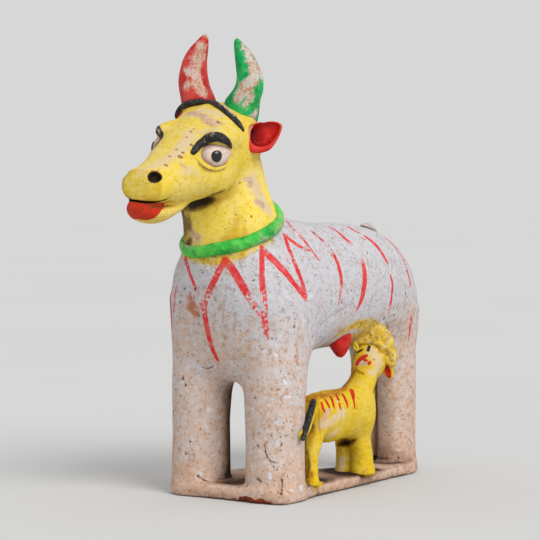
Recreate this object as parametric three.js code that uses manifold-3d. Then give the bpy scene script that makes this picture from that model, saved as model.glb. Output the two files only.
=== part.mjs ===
// Hand-built, painted clay cow with her suckling calf, standing on a thin clay base.
// Millimetres, +Z up. The cow looks along -Y, her left side is +X, and the calf
// stands under her on that side, looking the other way. The origin lies on the
// underside of the base. Every lump of clay is its own closed body; where two lumps
// are luted together a joint of GAP is left between them.

import * as THREE from 'three';
import { mergeVertices } from 'three/addons/utils/BufferGeometryUtils.js';
import Module from 'manifold-3d';

const wasm = await Module();
wasm.setup();

// ---------------------------------------------------------------- driving dimensions

const GAP = 0.35;                 // slip joint between two lumps of clay

const BASE_THICK = 9;             // clay slab under the feet
const FOOT_Z = BASE_THICK + GAP;

const FRONT_LEG_X = 30.3;         // the two front pillars, flush with the slab's edges
const FRONT_LEG_Y = -75.5;
const FRONT_LEG_R = 19.3;

const HIND_X = 5.2;               // the hind legs stand pressed together
const HIND_Y = 86.5;
const HIND_HALF_W = 22;
const HIND_HALF_D = 15.8;

const WALL = 10;                  // thickness of the hollow trunk and neck
const VENT_R = 6;                 // firing vent in the belly
const NECK_BORE_R = 17;

const COLLAR_R = 30.4;          // rolled coil round the foot of the neck
const COLLAR_COIL_R = 4.7;
const COLLAR_Y = -81.5;
const COLLAR_Z = 172.6;
const COLLAR_TILT = 23;           // degrees, low in front

const HEAD_ROLL = 6.5;            // degrees, left side low
const HORN_Y = -93;
const BROW_COIL_R = 2.5;
const FORELOCK_COIL_R = 3.2;
const LID_COIL_R = 1.7;
const PUPIL_R = 3.4;

const TAIL_R = 4.2;

const CALF_X = 32.6;              // middle of the calf's body
const CALF_Y = -6.5;
const CALF_TURN = 3.5;            // degrees, follows the slanted edge of the slab

// ---------------------------------------------------------------- helpers

const deg = THREE.MathUtils.degToRad;

// a closed geometry as a solid
function solid(geometry) {
  let g = geometry.clone();
  for (const key of Object.keys(g.attributes)) if (key !== 'position') g.deleteAttribute(key);
  g = mergeVertices(g, 1e-4);
  const p = g.attributes.position.array;
  const kept = [];
  const idx = g.index.array;
  for (let i = 0; i < idx.length; i += 3) {
    const [a, b, c] = [idx[i], idx[i + 1], idx[i + 2]];
    if (a !== b && b !== c && c !== a) kept.push(a, b, c);
  }
  let volume = 0;
  for (let i = 0; i < kept.length; i += 3) {
    const [a, b, c] = [3 * kept[i], 3 * kept[i + 1], 3 * kept[i + 2]];
    volume += p[a] * (p[b + 1] * p[c + 2] - p[b + 2] * p[c + 1])
      - p[a + 1] * (p[b] * p[c + 2] - p[b + 2] * p[c])
      + p[a + 2] * (p[b] * p[c + 1] - p[b + 1] * p[c]);
  }
  if (volume < 0) for (let i = 0; i < kept.length; i += 3) [kept[i + 1], kept[i + 2]] = [kept[i + 2], kept[i + 1]];
  return new wasm.Manifold(new wasm.Mesh({
    numProp: 3,
    vertProperties: new Float32Array(p),
    triVerts: new Uint32Array(kept),
  }));
}

// the largest separate lump of a cut solid
function lump(manifold) {
  const bits = manifold.decompose();
  bits.sort((a, b) => b.volume() - a.volume());
  return bits[0];
}

function carve(manifold, ...tools) {
  let m = manifold;
  for (const t of tools) m = m.subtract(t);
  return lump(m);
}

function at(geometry, x, y, z, rx = 0, ry = 0, rz = 0) {
  const m = new THREE.Matrix4().makeRotationFromEuler(new THREE.Euler(deg(rx), deg(ry), deg(rz), 'XYZ'));
  m.setPosition(x, y, z);
  return geometry.applyMatrix4(m);
}

// smooth run through a table of numbers, one row per station
function run(rows) {
  const cols = rows[0].length;
  return (t) => {
    const f = t * (rows.length - 1);
    const i = Math.min(rows.length - 2, Math.floor(f));
    const u = f - i;
    const out = [];
    for (let c = 0; c < cols; c++) {
      const p1 = rows[i][c], p2 = rows[i + 1][c];
      const p0 = i > 0 ? rows[i - 1][c] : 2 * p1 - p2;
      const p3 = i + 2 < rows.length ? rows[i + 2][c] : 2 * p2 - p1;
      const m1 = (p2 - p0) / 2, m2 = (p3 - p1) / 2;
      const u2 = u * u, u3 = u2 * u;
      out.push((2 * u3 - 3 * u2 + 1) * p1 + (u3 - 2 * u2 + u) * m1 + (-2 * u3 + 3 * u2) * p2 + (u3 - u2) * m2);
    }
    return out;
  };
}

const sgnpow = (v, e) => Math.sign(v) * Math.pow(Math.abs(v), e);

// A lump thrown along an axis: a sphere whose rings are re-placed on the stations.
// Each station is [along, c1, c2, half1, half2]; 'axis' says which way it runs:
// 'y' gives (x, z) sections, 'z' gives (x, y) sections. The end rows close to a point;
// 'taper' narrows the upper half of each section.
function body(rows, axis, grow, { seg = 32, rings = 0, power = 2, taper = 0 } = {}) {
  const n = rings || (rows.length - 1) * 2;
  const at2 = run(rows);
  const g = new THREE.SphereGeometry(1, seg, n);
  const p = g.attributes.position;
  for (let i = 0; i < p.count; i++) {
    const y = THREE.MathUtils.clamp(p.getY(i), -1, 1);
    const k = Math.round((Math.acos(y) / Math.PI) * n);
    const s = at2(k / n);
    const phi = Math.atan2(p.getZ(i), p.getX(i));
    const pole = k === 0 || k === n;
    const h1 = pole ? 0 : Math.max(0.05, s[3]) + grow;
    const h2 = pole ? 0 : Math.max(0.05, s[4]) + grow;
    const along = s[0] + (k === 0 ? Math.sign(rows[0][0] - rows[1][0]) * grow
      : k === n ? Math.sign(rows[rows.length - 1][0] - rows[rows.length - 2][0]) * grow : 0);
    const high = sgnpow(Math.sin(phi), 2 / power);
    const u = s[1] + h1 * sgnpow(Math.cos(phi), 2 / power) * (1 - taper * Math.max(0, high));
    const v = s[2] + h2 * high;
    if (axis === 'y') p.setXYZ(i, u, along, v);
    else p.setXYZ(i, u, v, along);
  }
  return g;
}

// A pillar with flat ends: a cylinder whose rings are re-placed on the stations
// [z, x, y, half x, half y].
function pillar(rows, grow, { seg = 28, rings = 0, power = 2, ends = 0 } = {}) {
  const n = rings || (rows.length - 1) * 2;
  const at2 = run(rows);
  const g = new THREE.CylinderGeometry(1, 1, 1, seg, n);
  const p = g.attributes.position;
  for (let i = 0; i < p.count; i++) {
    const k = Math.round((0.5 - p.getY(i)) * n);
    const s = at2(k / n);
    const r = Math.hypot(p.getX(i), p.getZ(i));
    const phi = Math.atan2(p.getZ(i), p.getX(i));
    const up = Math.sign(rows[0][0] - rows[rows.length - 1][0]);
    const z = s[0] + (k === 0 ? up * ends : k === n ? -up * ends : 0);
    const q = r < 0.5 ? 0 : 1;
    p.setXYZ(i, s[1] + q * (s[3] + grow) * sgnpow(Math.cos(phi), 2 / power),
      s[2] + q * (s[4] + grow) * sgnpow(Math.sin(phi), 2 / power), z);
  }
  return g;
}

// A rolled coil of clay along a curve, thinner at both ends.
function coil(points, radius, grow, { steps = 14, sides = 8, ends = 0.55 } = {}) {
  const curve = new THREE.CatmullRomCurve3(points.map((q) => new THREE.Vector3(...q)));
  const ring = new THREE.Shape();
  for (let i = 0; i < sides; i++) {
    const a = (2 * Math.PI * i) / sides;
    const x = Math.cos(a), y = Math.sin(a);
    if (i === 0) ring.moveTo(x, y); else ring.lineTo(x, y);
  }
  ring.closePath();
  const g = new THREE.ExtrudeGeometry(ring, { steps, bevelEnabled: false, extrudePath: curve });
  // the extruded ring has radius 1: each step is swelled to the coil's radius there
  const p = g.attributes.position;
  const spine = curve.getSpacedPoints(steps);
  const v = new THREE.Vector3();
  for (let i = 0; i < p.count; i++) {
    v.fromBufferAttribute(p, i);
    let best = 0, bd = Infinity;
    for (let k = 0; k <= steps; k++) {
      const d = Math.abs(v.distanceTo(spine[k]) - 1);
      if (d < bd) { bd = d; best = k; }
    }
    const t = best / steps;
    const end = Math.min(t, 1 - t);
    const w = ends + (1 - ends) * Math.min(1, end / 0.22);
    v.sub(spine[best]).multiplyScalar(radius * w + grow).add(spine[best]);
    p.setXYZ(i, v.x, v.y, v.z);
  }
  return g;
}

// A pellet pressed on: a squashed ball.
function pellet(x, y, z, rx, ry, rz, grow, { seg = 18, rings = 12, turn = [0, 0, 0] } = {}) {
  const g = new THREE.SphereGeometry(1, seg, rings);
  g.scale(rx + grow, ry + grow, rz + grow);
  return at(g, x, y, z, ...turn);
}

const CLAY = {
  slip: { color: 0xd9cdc4, roughness: 0.86, metalness: 0 },
  yellow: { color: 0xe8cf3c, roughness: 0.7, metalness: 0 },
  red: { color: 0xc8343c, roughness: 0.66, metalness: 0 },
  green: { color: 0x2f9d58, roughness: 0.66, metalness: 0 },
  black: { color: 0x1c1a1b, roughness: 0.55, metalness: 0 },
  white: { color: 0xdccbc0, roughness: 0.6, metalness: 0 },
};

const cow = new THREE.Group();

function piece(name, manifold, paint) {
  const out = manifold.getMesh();
  const g = new THREE.BufferGeometry();
  const pos = new Float32Array(out.vertProperties.length / out.numProp * 3);
  for (let i = 0; i < pos.length / 3; i++) {
    for (let c = 0; c < 3; c++) pos[3 * i + c] = out.vertProperties[i * out.numProp + c];
  }
  g.setAttribute('position', new THREE.BufferAttribute(pos, 3));
  g.setIndex(new THREE.BufferAttribute(new Uint32Array(out.triVerts), 1));
  g.computeVertexNormals();
  const mesh = new THREE.Mesh(g, new THREE.MeshStandardMaterial(CLAY[paint]));
  mesh.name = name;
  cow.add(mesh);
  return mesh;
}

// ---------------------------------------------------------------- base

// Outline of the slab seen from above: straight left edge, full width under the
// front legs, cut in on the right behind them, rounded under the hind legs.
function makeBase() {
  const s = new THREE.Shape();
  s.moveTo(43, -96);
  s.quadraticCurveTo(50, -96, 49.5, -90);
  s.lineTo(38.6, 10);
  s.lineTo(32.2, 76);
  s.bezierCurveTo(31, 98, 21, 109, 5.5, 109);
  s.bezierCurveTo(-10, 109, -19.5, 99, -19.5, 84);
  s.bezierCurveTo(-19.5, 62, 4, 44, 4.5, 26);
  s.bezierCurveTo(5, 8, -38, 16, -46.5, -10);
  s.lineTo(-50, -74);
  s.bezierCurveTo(-50, -88, -42, -96, -30, -96);
  s.closePath();
  const g = new THREE.ExtrudeGeometry(s, { depth: BASE_THICK, bevelEnabled: false, curveSegments: 6 });
  return solid(g);
}

// ---------------------------------------------------------------- trunk and legs

const TRUNK = [
  // y, x, z, half width, half height
  [-111, 0, 149, 0, 0],
  [-108, 0, 147, 15, 14],
  [-104, 0, 142, 26, 25],
  [-98, 0, 134, 36, 37],
  [-90, 0, 128, 42.5, 46.5],
  [-79, 0, 127, 47.4, 51.5],
  [-60, 0, 130.5, 49, 50.5],
  [-40, 0.3, 133, 48, 48],
  [-18, 0.6, 134.3, 46.5, 43.8],
  [5, 1, 134, 45, 42],
  [28, 1.6, 134, 43, 41.7],
  [50, 2.4, 132.6, 40, 41],
  [68, 3.2, 129.6, 36, 39.6],
  [84, 4, 125, 30.5, 36.5],
  [96, 4.6, 121, 24, 32],
  [104, 5, 117, 17, 25],
  [108.6, 5, 114, 9.5, 15],
  [110.4, 5, 112, 0, 0],
];
const makeTrunk = (grow) => solid(body(TRUNK, 'y', grow, { seg: 26, rings: 17, power: 2.35, taper: 0.1 }));

const HOLLOW = TRUNK.map((r, i) => [r[0] * 1, r[1], r[2] + (i > 3 && i < 14 ? 1 : 0), Math.max(0, r[3] - WALL), Math.max(0, r[4] - WALL)])
  .filter((r) => r[3] > 8 && r[4] > 8);
HOLLOW.unshift([HOLLOW[0][0] - 3, 0, HOLLOW[0][2], 0, 0]);
HOLLOW.push([HOLLOW[HOLLOW.length - 1][0] + 3, 5, HOLLOW[HOLLOW.length - 1][2], 0, 0]);
const makeHollow = () => solid(body(HOLLOW, 'y', 0, { seg: 14, rings: 10, power: 2.2, taper: 0.1 }));

function frontLegRows(side) {
  const x = side * FRONT_LEG_X, y = FRONT_LEG_Y, r = FRONT_LEG_R;
  return [
    [FOOT_Z, x, y, r + 0.6, r + 0.3],
    [16, x, y, r, r - 0.2],
    [40, x, y, r - 0.6, r - 0.5],
    [62, x, y + 0.4, r + 0.2, r + 0.6],
    [80, x - side * 0.2, y + 2.6, r + 0.6, r + 3.4],
    [96, x - side * 0.6, y + 6.5, r + 0.2, r + 8],
    [116, x - side * 2.2, y + 10, r - 1, r + 10],
  ];
}
const makeFrontLeg = (side, grow) => solid(pillar(frontLegRows(side), grow, { seg: 20, rings: 6, ends: 0 }));

function hindLegRows(side) {
  const w = HIND_HALF_W / 2;
  const x = HIND_X + side * (w + GAP / 2), y = HIND_Y;
  return [
    [FOOT_Z, x, y, w - 0.1, HIND_HALF_D + 0.6],
    [18, x, y, w - 0.1, HIND_HALF_D],
    [44, x, y, w - 0.2, HIND_HALF_D - 0.6],
    [70, x, y - 0.6, w - 0.1, HIND_HALF_D],
    [88, x, y - 2, w - 0.1, HIND_HALF_D + 1.4],
    [104, x, y - 4.5, w - 0.1, HIND_HALF_D + 3],
  ];
}
const makeHindLeg = (side, grow) => solid(pillar(hindLegRows(side), grow, { seg: 18, rings: 5, power: 2.7 }));

// ---------------------------------------------------------------- neck and collar

const NECK = [
  [150, 0, -79, 31, 30],
  [168, 0, -80.5, 31, 31],
  [180, 0, -81.5, 30.8, 30.8],
  [190, 0, -84, 30, 29.8],
  [201, 0, -88, 28, 27.8],
  [214, 0, -91.5, 26.6, 26],
  [226, 0, -95, 24.5, 23],
];
const makeNeck = (grow) => solid(pillar(NECK, grow, { seg: 24, rings: 8, ends: grow }));

function makeCollar() {
  const g = new THREE.TorusGeometry(COLLAR_R, COLLAR_COIL_R, 8, 32);
  g.scale(1.02, 1.08, 1);
  return solid(at(g, 0, COLLAR_Y, COLLAR_Z, COLLAR_TILT, 1.5, 0));
}

// ---------------------------------------------------------------- head

const HEAD = [
  // y, x, z, half width, half height, before the head is rolled to its left
  [-76, 0, 231, 0, 0],
  [-79, 0, 231, 12, 12],
  [-86, 0, 229.5, 21, 22],
  [-96, 0, 226, 26, 29.5],
  [-108, 0, 221.8, 27, 31],
  [-120, 0, 217.5, 26, 29],
  [-132, 0, 213.3, 23.8, 25.3],
  [-143, 0, 209.5, 20.6, 20.6],
  [-154, 0, 206, 17.6, 16],
  [-164, 0, 203.6, 16, 12.6],
  [-172, 0, 202.4, 14.4, 10.4],
  [-178, 0, 201.8, 10.8, 7.6],
  [-181.2, 0, 201.8, 0, 0],
];
const HEAD_PIVOT = new THREE.Vector3(0, 0, 215);
function rolled(geometry) {
  geometry.translate(0, 0, -HEAD_PIVOT.z);
  geometry.rotateY(deg(HEAD_ROLL));
  geometry.translate(0, 0, HEAD_PIVOT.z);
  return geometry;
}
const makeHead = (grow) => solid(rolled(body(HEAD, 'y', grow, { seg: 24, rings: 18, power: 2.25 })));

const JAW = [
  [-130, 0, 192, 0, 0],
  [-133, 0, 191.6, 7, 3.4],
  [-140, 0, 190, 11, 5],
  [-149, 0, 188, 13.2, 6.6],
  [-159, 0, 186.7, 13.6, 7.2],
  [-167, 0, 187, 12, 6.8],
  [-173, 0, 187.8, 7.8, 4.8],
  [-175.6, 0, 188.4, 0, 0],
];
const makeJaw = (grow) => solid(rolled(body(JAW, 'y', grow, { seg: 18, rings: 10 })));

function hornRows(side) {
  const top = side > 0 ? 298.2 : 300 - 0.4;
  const low = side > 0 ? 236 : 240;
  const s = (v) => side * v;
  return [
    [low, s(15.5), HORN_Y, 13.2, 12.8],
    [low + 13, s(18), HORN_Y, 12.8, 12.4],
    [low + 22, s(20), HORN_Y, 12, 11.6],
    [low + 32, s(21.4), HORN_Y, 10.6, 10.4],
    [low + 41, s(20.8), HORN_Y + 0.2, 8.9, 8.8],
    [low + 49, s(19), HORN_Y + 0.4, 7, 7],
    [low + 56, s(16), HORN_Y + 0.6, 4.6, 4.6],
    [top, s(14), HORN_Y + 0.6, 2, 2],
  ];
}
const makeHorn = (side, grow) => solid(pillar(hornRows(side), grow, { seg: 16, rings: 10 }));

// a cupped leaf, its hollow facing forward
function makeEar(side, grow) {
  const outer = new THREE.SphereGeometry(1, 16, 10);
  outer.scale(14.6 + grow, 6.4 + grow, 10 + grow);
  const lift = side > 0 ? 16 : 24;
  const sweep = side > 0 ? -8 : -34;
  const cx = side > 0 ? 33 : -33, cy = side > 0 ? -93 : -86.5, cz = side > 0 ? 234 : 243;
  at(outer, 0, 0, 0, 0, side > 0 ? -lift : lift, side > 0 ? -sweep : sweep);
  outer.translate(cx, cy, cz);
  let m = solid(outer);
  if (grow === 0) {
    const cup = new THREE.SphereGeometry(1, 14, 8);
    cup.scale(12, 6.2, 7.6);
    cup.translate(side * 1.2, -4.4, 0.4);
    at(cup, 0, 0, 0, 0, side > 0 ? -lift : lift, side > 0 ? -sweep : sweep);
    cup.translate(cx, cy, cz);
    m = m.subtract(solid(cup));
  }
  return m;
}

const EYE = {
  left: { c: [21.6, -128.5, 221.4], turn: [0, 0, -8], out: 0 },
  right: { c: [-18.8, -125.5, 226], turn: [0, 0, 10], out: 2.9 },
};
const makeEye = (side, grow) => {
  const e = EYE[side];
  return solid(pellet(...e.c, 5.6, 12.2, 7.4, grow, { seg: 14, rings: 8, turn: e.turn }));
};
const makePupil = (side, grow) => {
  const e = EYE[side];
  const s = side === 'left' ? 1 : -1;
  return solid(pellet(e.c[0] + s * 4.6, e.c[1] + (side === 'left' ? -1.2 : -1), e.c[2] + 0.4, 2.4, PUPIL_R, PUPIL_R, grow, { seg: 10, rings: 6 }));
};

function browPoints(side) {
  const e = EYE[side], s = side === 'left' ? 1 : -1;
  const [cx, y, z] = e.c;
  const x = cx + s * e.out * 0.5;
  return [
    [x - s * 3.4, y - 17, z + 2.4],
    [x - s * 1.6, y - 11.5, z + 8.6],
    [x - s * 0.2, y - 3, z + 13],
    [x + s * 1.5, y + 6.5, z + 13],
    [x + s * 3, y + 14, z + 9],
  ];
}
const makeBrow = (side, grow) => solid(coil(browPoints(side), BROW_COIL_R, grow, { steps: 9, sides: 7 }));

function lidPoints(side) {
  const e = EYE[side], s = side === 'left' ? 1 : -1;
  const [cx, y, z] = e.c;
  const x = cx + s * e.out;
  return [
    [x + s * 0.6, y - 14, z - 2.5],
    [x + s * 3, y - 8, z - 7.2],
    [x + s * 4.4, y, z - 9],
    [x + s * 4.6, y + 8, z - 7],
    [x + s * 4.4, y + 13.5, z - 2.5],
  ];
}
const makeLid = (side, grow) => solid(coil(lidPoints(side), LID_COIL_R, grow, { steps: 8, sides: 6 }));

const FORELOCK = [
  [-28.2, -102, 243],
  [-20, -109.5, 249.4],
  [-8, -111.5, 253.4],
  [5, -111, 252.4],
  [17, -108.5, 246.6],
  [27, -102.5, 235.5],
];
const makeForelock = (grow) => solid(coil(FORELOCK, FORELOCK_COIL_R, grow, { steps: 14, sides: 7 }));

// ---------------------------------------------------------------- tail and udder

const TAIL = [
  [4.2, 64, 169.5],
  [4.3, 74, 168],
  [4.6, 86, 162.5],
  [4.8, 97, 153],
  [5, 106.5, 138],
  [5.2, 111.5, 118],
  [5.2, 109, 100],
  [5.2, 105.5, 84],
  [5.2, 104, 70],
];
const makeTail = () => solid(coil(TAIL, TAIL_R, 0, { steps: 18, sides: 7, ends: 0.85 }));

function makeTeat() {
  const pts = [[0, -11.5], [2.4, -11], [3.8, -9.2], [6.2, -2], [8.6, 6], [9.6, 14], [0, 14]].map(([r, z]) => new THREE.Vector2(r, z));
  const g = new THREE.LatheGeometry(pts, 14);
  g.rotateX(Math.PI / 2);
  return solid(at(g, 14.5, 18, 94.5, 6, 0, 0));
}

// ---------------------------------------------------------------- calf

// calf pieces are shaped about their own axis (s forward, n to the near side) and
// then turned and set on the slab
function calfPlace(geometry) {
  geometry.rotateZ(deg(CALF_TURN));
  geometry.translate(CALF_X, CALF_Y, 0);
  return geometry;
}
const CALF_BODY = [
  [-41.5, 0, 53.5, 0, 0],
  [-39, 0, 53, 7.5, 8.6],
  [-32, 0, 51, 11.5, 15],
  [-20, 0, 49.8, 13.2, 17.2],
  [-6, 0, 50, 13.4, 17.2],
  [8, 0, 50, 13.6, 17.2],
  [21, 0, 50, 13.8, 18],
  [31, 0, 49.5, 11.6, 15.5],
  [37, 0, 48.5, 7, 9],
  [39.5, 0, 48, 0, 0],
];
const makeCalfBody = (grow) => solid(calfPlace(body(CALF_BODY, 'y', grow, { seg: 18, rings: 12 })));

const CALF_NECK = [
  [52, 0, 20.5, 11, 13.5],
  [62, 0, 23.5, 10.8, 13.2],
  [70, 0, 27.5, 10.2, 11.8],
  [77, 0.4, 32, 9.6, 10.2],
  [84, 0.6, 36, 8.4, 8.6],
];
const makeCalfNeck = (grow) => solid(calfPlace(pillar(CALF_NECK, grow, { seg: 16, rings: 6, ends: grow })));

function makeCalfHead(grow) {
  const g = new THREE.SphereGeometry(1, 16, 12);
  const p = g.attributes.position;
  for (let i = 0; i < p.count; i++) {
    // narrower towards the muzzle, which hangs low towards the near side
    const t = p.getZ(i);
    const k = 1 - 0.16 * Math.max(0, -t);
    p.setXYZ(i, p.getX(i) * (11 * k + grow), p.getY(i) * (11.6 * k + grow), t * (15.6 + grow));
  }
  at(g, 0, 0, 0, 20, -14, -50);
  return solid(calfPlace(g.translate(2.5, 42, 84)));
}

function calfLegRows(end, side) {
  const n = side * 8;
  if (end === 'front') {
    const y = side > 0 ? 25 : 23.5;
    const r = side > 0 ? 7.6 : 6.4;
    const nn = side > 0 ? 4.4 : -11.5;
    return [[FOOT_Z, nn, y, r + 0.8, r + 1], [16, nn, y, r, r], [30, nn * 0.9, y - 1, r, r + 0.3], [40, nn * 0.8, y - 2, r, r + 1], [50, nn * 0.7, y - 3, r - 0.6, r + 1]];
  }
  const y = side > 0 ? -44.5 : -41;
  return [[FOOT_Z, n, y, 6, 6.2], [16, n, y, 5.2, 5.4], [28, n * 0.9, y + 3, 5.4, 6], [40, n * 0.7, y + 8, 6, 7.4], [50, n * 0.6, y + 12, 5.6, 7.4]];
}
const makeCalfLeg = (end, side, grow) => solid(calfPlace(pillar(calfLegRows(end, side), grow, { seg: 12, rings: 4 })));

const CALF_TAIL = [
  [3, -37.5, 62],
  [4.6, -42.5, 55],
  [6, -45.6, 46],
  [7, -47, 36.5],
];
const makeCalfTail = () => solid(calfPlace(coil(CALF_TAIL, 2.4, 0, { steps: 9, ends: 0.8 })));

function makeCalfEar(which, grow) {
  const g = new THREE.SphereGeometry(1, 10, 8);
  if (which === 'left') {
    g.scale(3 + grow, 4.6 + grow, 9 + grow);
    at(g, 3.5, 52.5, 79.5, 14, 0, -38);
  } else {
    g.scale(2.8 + grow, 4 + grow, 7 + grow);
    at(g, 7.4, 30.6, 92, -30, 14, -30);
  }
  return solid(calfPlace(g));
}

// ---------------------------------------------------------------- assembly

const base = makeBase();
piece('base_slab', base, 'slip');

const trunkOut = makeTrunk(0);
const trunkCut = makeTrunk(GAP);
const frontL = makeFrontLeg(1, 0), frontR = makeFrontLeg(-1, 0);
const hindL = makeHindLeg(1, 0), hindR = makeHindLeg(-1, 0);

// the trunk is a hollow pot: open to the neck, with a firing vent in the belly
const bore = solid(at(new THREE.CylinderGeometry(NECK_BORE_R, NECK_BORE_R, 90, 20), 0, -80.5, 165, 90, 0, 0));
const vent = solid(at(new THREE.CylinderGeometry(VENT_R, VENT_R, 40, 16), -8, 20, 96, 90, 0, 0));
piece('trunk', carve(trunkOut, makeHollow(), bore, vent), 'slip');

piece('front_left_leg', carve(frontL, trunkCut), 'slip');
piece('front_right_leg', carve(frontR, trunkCut), 'slip');
piece('hind_left_leg', carve(hindL, trunkCut), 'slip');
piece('hind_right_leg', carve(hindR, trunkCut), 'slip');

const neckOut = makeNeck(0), neckCut = makeNeck(GAP);
const neckBore = solid(at(new THREE.CylinderGeometry(NECK_BORE_R, NECK_BORE_R, 120, 20), 0, -80.5, 156, 90, 0, 0));
piece('neck', carve(neckOut, trunkCut, neckBore), 'yellow');
piece('collar', carve(makeCollar(), neckCut, trunkCut), 'green');

const headOut = makeHead(0), headCut = makeHead(GAP);
const eyeL = makeEye('left', 0), eyeR = makeEye('right', 0);
const eyeLCut = makeEye('left', GAP), eyeRCut = makeEye('right', GAP);
piece('head', carve(headOut, neckCut, eyeLCut, eyeRCut), 'yellow');
piece('lower_jaw', carve(makeJaw(0), headCut, neckCut), 'red');

piece('left_horn', carve(makeHorn(1, 0), headCut), 'green');
piece('right_horn', carve(makeHorn(-1, 0), headCut), 'red');
const hornLCut = makeHorn(1, GAP), hornRCut = makeHorn(-1, GAP);
piece('left_ear', carve(makeEar(1, 0), headCut, neckCut, hornLCut), 'red');
piece('right_ear', carve(makeEar(-1, 0), headCut, neckCut, hornRCut), 'red');

piece('left_eyeball', eyeL, 'white');
piece('right_eyeball', eyeR, 'white');
piece('left_pupil', carve(makePupil('left', 0), eyeLCut, headCut), 'black');
piece('right_pupil', carve(makePupil('right', 0), eyeRCut, headCut), 'black');
const browLCut = makeBrow('left', GAP), browRCut = makeBrow('right', GAP);
piece('left_eyebrow', carve(makeBrow('left', 0), headCut, eyeLCut), 'black');
piece('right_eyebrow', carve(makeBrow('right', 0), headCut, eyeRCut), 'black');
const pupLCut = makePupil('left', GAP), pupRCut = makePupil('right', GAP);
piece('left_lower_eyelid', carve(makeLid('left', 0), headCut, eyeLCut, browLCut, pupLCut), 'yellow');
piece('right_lower_eyelid', carve(makeLid('right', 0), headCut, eyeRCut, browRCut, pupRCut), 'yellow');
piece('forelock', carve(makeForelock(0), headCut, hornLCut, hornRCut, browLCut, browRCut, makeEar(1, GAP), makeEar(-1, GAP)), 'black');

piece('tail', carve(makeTail(), trunkCut, makeHindLeg(1, GAP), makeHindLeg(-1, GAP)), 'slip');
piece('teat', carve(makeTeat(), trunkCut), 'red');

const calfBodyCut = makeCalfBody(GAP), calfNeckCut = makeCalfNeck(GAP);
piece('calf_trunk', lump(makeCalfBody(0)), 'yellow');
for (const [end, side, name] of [['front', -1, 'calf_front_left_leg'], ['front', 1, 'calf_front_right_leg'],
  ['hind', -1, 'calf_hind_left_leg'], ['hind', 1, 'calf_hind_right_leg']]) {
  piece(name, carve(makeCalfLeg(end, side, 0), calfBodyCut), 'yellow');
}
piece('calf_neck', carve(makeCalfNeck(0), calfBodyCut), 'yellow');
const hindLCut = makeHindLeg(1, GAP);
piece('calf_head', carve(makeCalfHead(0), calfNeckCut, calfBodyCut, trunkCut, hindLCut), 'yellow');
const calfHeadCut = makeCalfHead(GAP);
piece('calf_left_ear', carve(makeCalfEar('left', 0), calfHeadCut, calfNeckCut, calfBodyCut, trunkCut, hindLCut), 'red');
piece('calf_right_ear', carve(makeCalfEar('right', 0), calfHeadCut, calfNeckCut, trunkCut), 'yellow');
piece('calf_tail', carve(makeCalfTail(), calfBodyCut, makeCalfLeg('hind', 1, GAP), makeCalfLeg('hind', -1, GAP)), 'black');

export default cow;
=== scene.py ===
import math

import bmesh
import bpy
import numpy as np
from mathutils import Matrix, Vector


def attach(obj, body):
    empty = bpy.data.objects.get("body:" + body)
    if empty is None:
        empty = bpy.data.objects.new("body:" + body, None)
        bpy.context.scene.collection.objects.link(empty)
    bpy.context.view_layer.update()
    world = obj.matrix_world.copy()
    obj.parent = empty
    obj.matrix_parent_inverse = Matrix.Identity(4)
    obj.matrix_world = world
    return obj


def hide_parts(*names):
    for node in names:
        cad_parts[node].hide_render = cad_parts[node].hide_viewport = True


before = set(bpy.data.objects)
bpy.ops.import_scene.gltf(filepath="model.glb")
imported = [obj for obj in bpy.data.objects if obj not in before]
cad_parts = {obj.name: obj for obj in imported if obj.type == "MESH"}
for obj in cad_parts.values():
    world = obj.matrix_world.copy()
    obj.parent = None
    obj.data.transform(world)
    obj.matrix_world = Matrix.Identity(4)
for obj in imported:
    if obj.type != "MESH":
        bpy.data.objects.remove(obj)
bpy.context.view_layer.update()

F = np.float32
COARSE = 1.0

# Everything below is modelled in millimetres, in the shared frame: the cow looks
# along -Y, +X is her left side, Z is up, and the underside of the base is Z = 0.

# =====================================================================================
# camera: where each painted stroke falls on the clay is given as seen from here
# =====================================================================================

CAM_AZ = math.radians(36.0)
CAM_DIST, CAM_Z = 1600.0, 215.5
CAM_F = 2374.6                        # focal length in pixels of the square 540 px frame
CAM_PITCH = math.atan((270.0 - 164.8) / CAM_F)
CAM_YAW = math.atan(35.8 / CAM_F)

_back = np.array([math.sin(CAM_AZ), -math.cos(CAM_AZ), 0.0])
CAM_POS = _back * CAM_DIST + np.array([0, 0, CAM_Z])
_c, _s = math.cos(CAM_YAW), math.sin(CAM_YAW)
_fw = np.array([_c * -_back[0] - _s * -_back[1], _s * -_back[0] + _c * -_back[1], 0.0])
CAM_RIGHT = np.array([_fw[1], -_fw[0], 0.0])
CAM_FW = _fw * math.cos(CAM_PITCH) - np.array([0, 0, 1.0]) * math.sin(CAM_PITCH)
CAM_UP = np.array([0, 0, 1.0]) * math.cos(CAM_PITCH) + _fw * math.sin(CAM_PITCH)
PX = 1.53                             # pixels to a millimetre at the figure's middle
ASIDE, TOWARD = np.array([0.809, 0.588, 0.0]), np.array([0.588, -0.809, 0.0])


def sight(px):
    """Unit directions of the sight lines through the given frame positions."""
    px = np.atleast_2d(np.asarray(px, float))
    d = CAM_FW + np.outer((px[:, 0] - 270) / CAM_F, CAM_RIGHT) - np.outer((px[:, 1] - 270) / CAM_F, CAM_UP)
    return d / np.linalg.norm(d, axis=1, keepdims=True)


# =====================================================================================
# clay as distance fields
# =====================================================================================

def smin(a, b, k):
    h = np.maximum(k - np.abs(a - b), 0) / F(k)
    return np.minimum(a, b) - h * h * F(k * 0.25)


def smax(a, b, k):
    return -smin(-a, -b, k)


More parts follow.
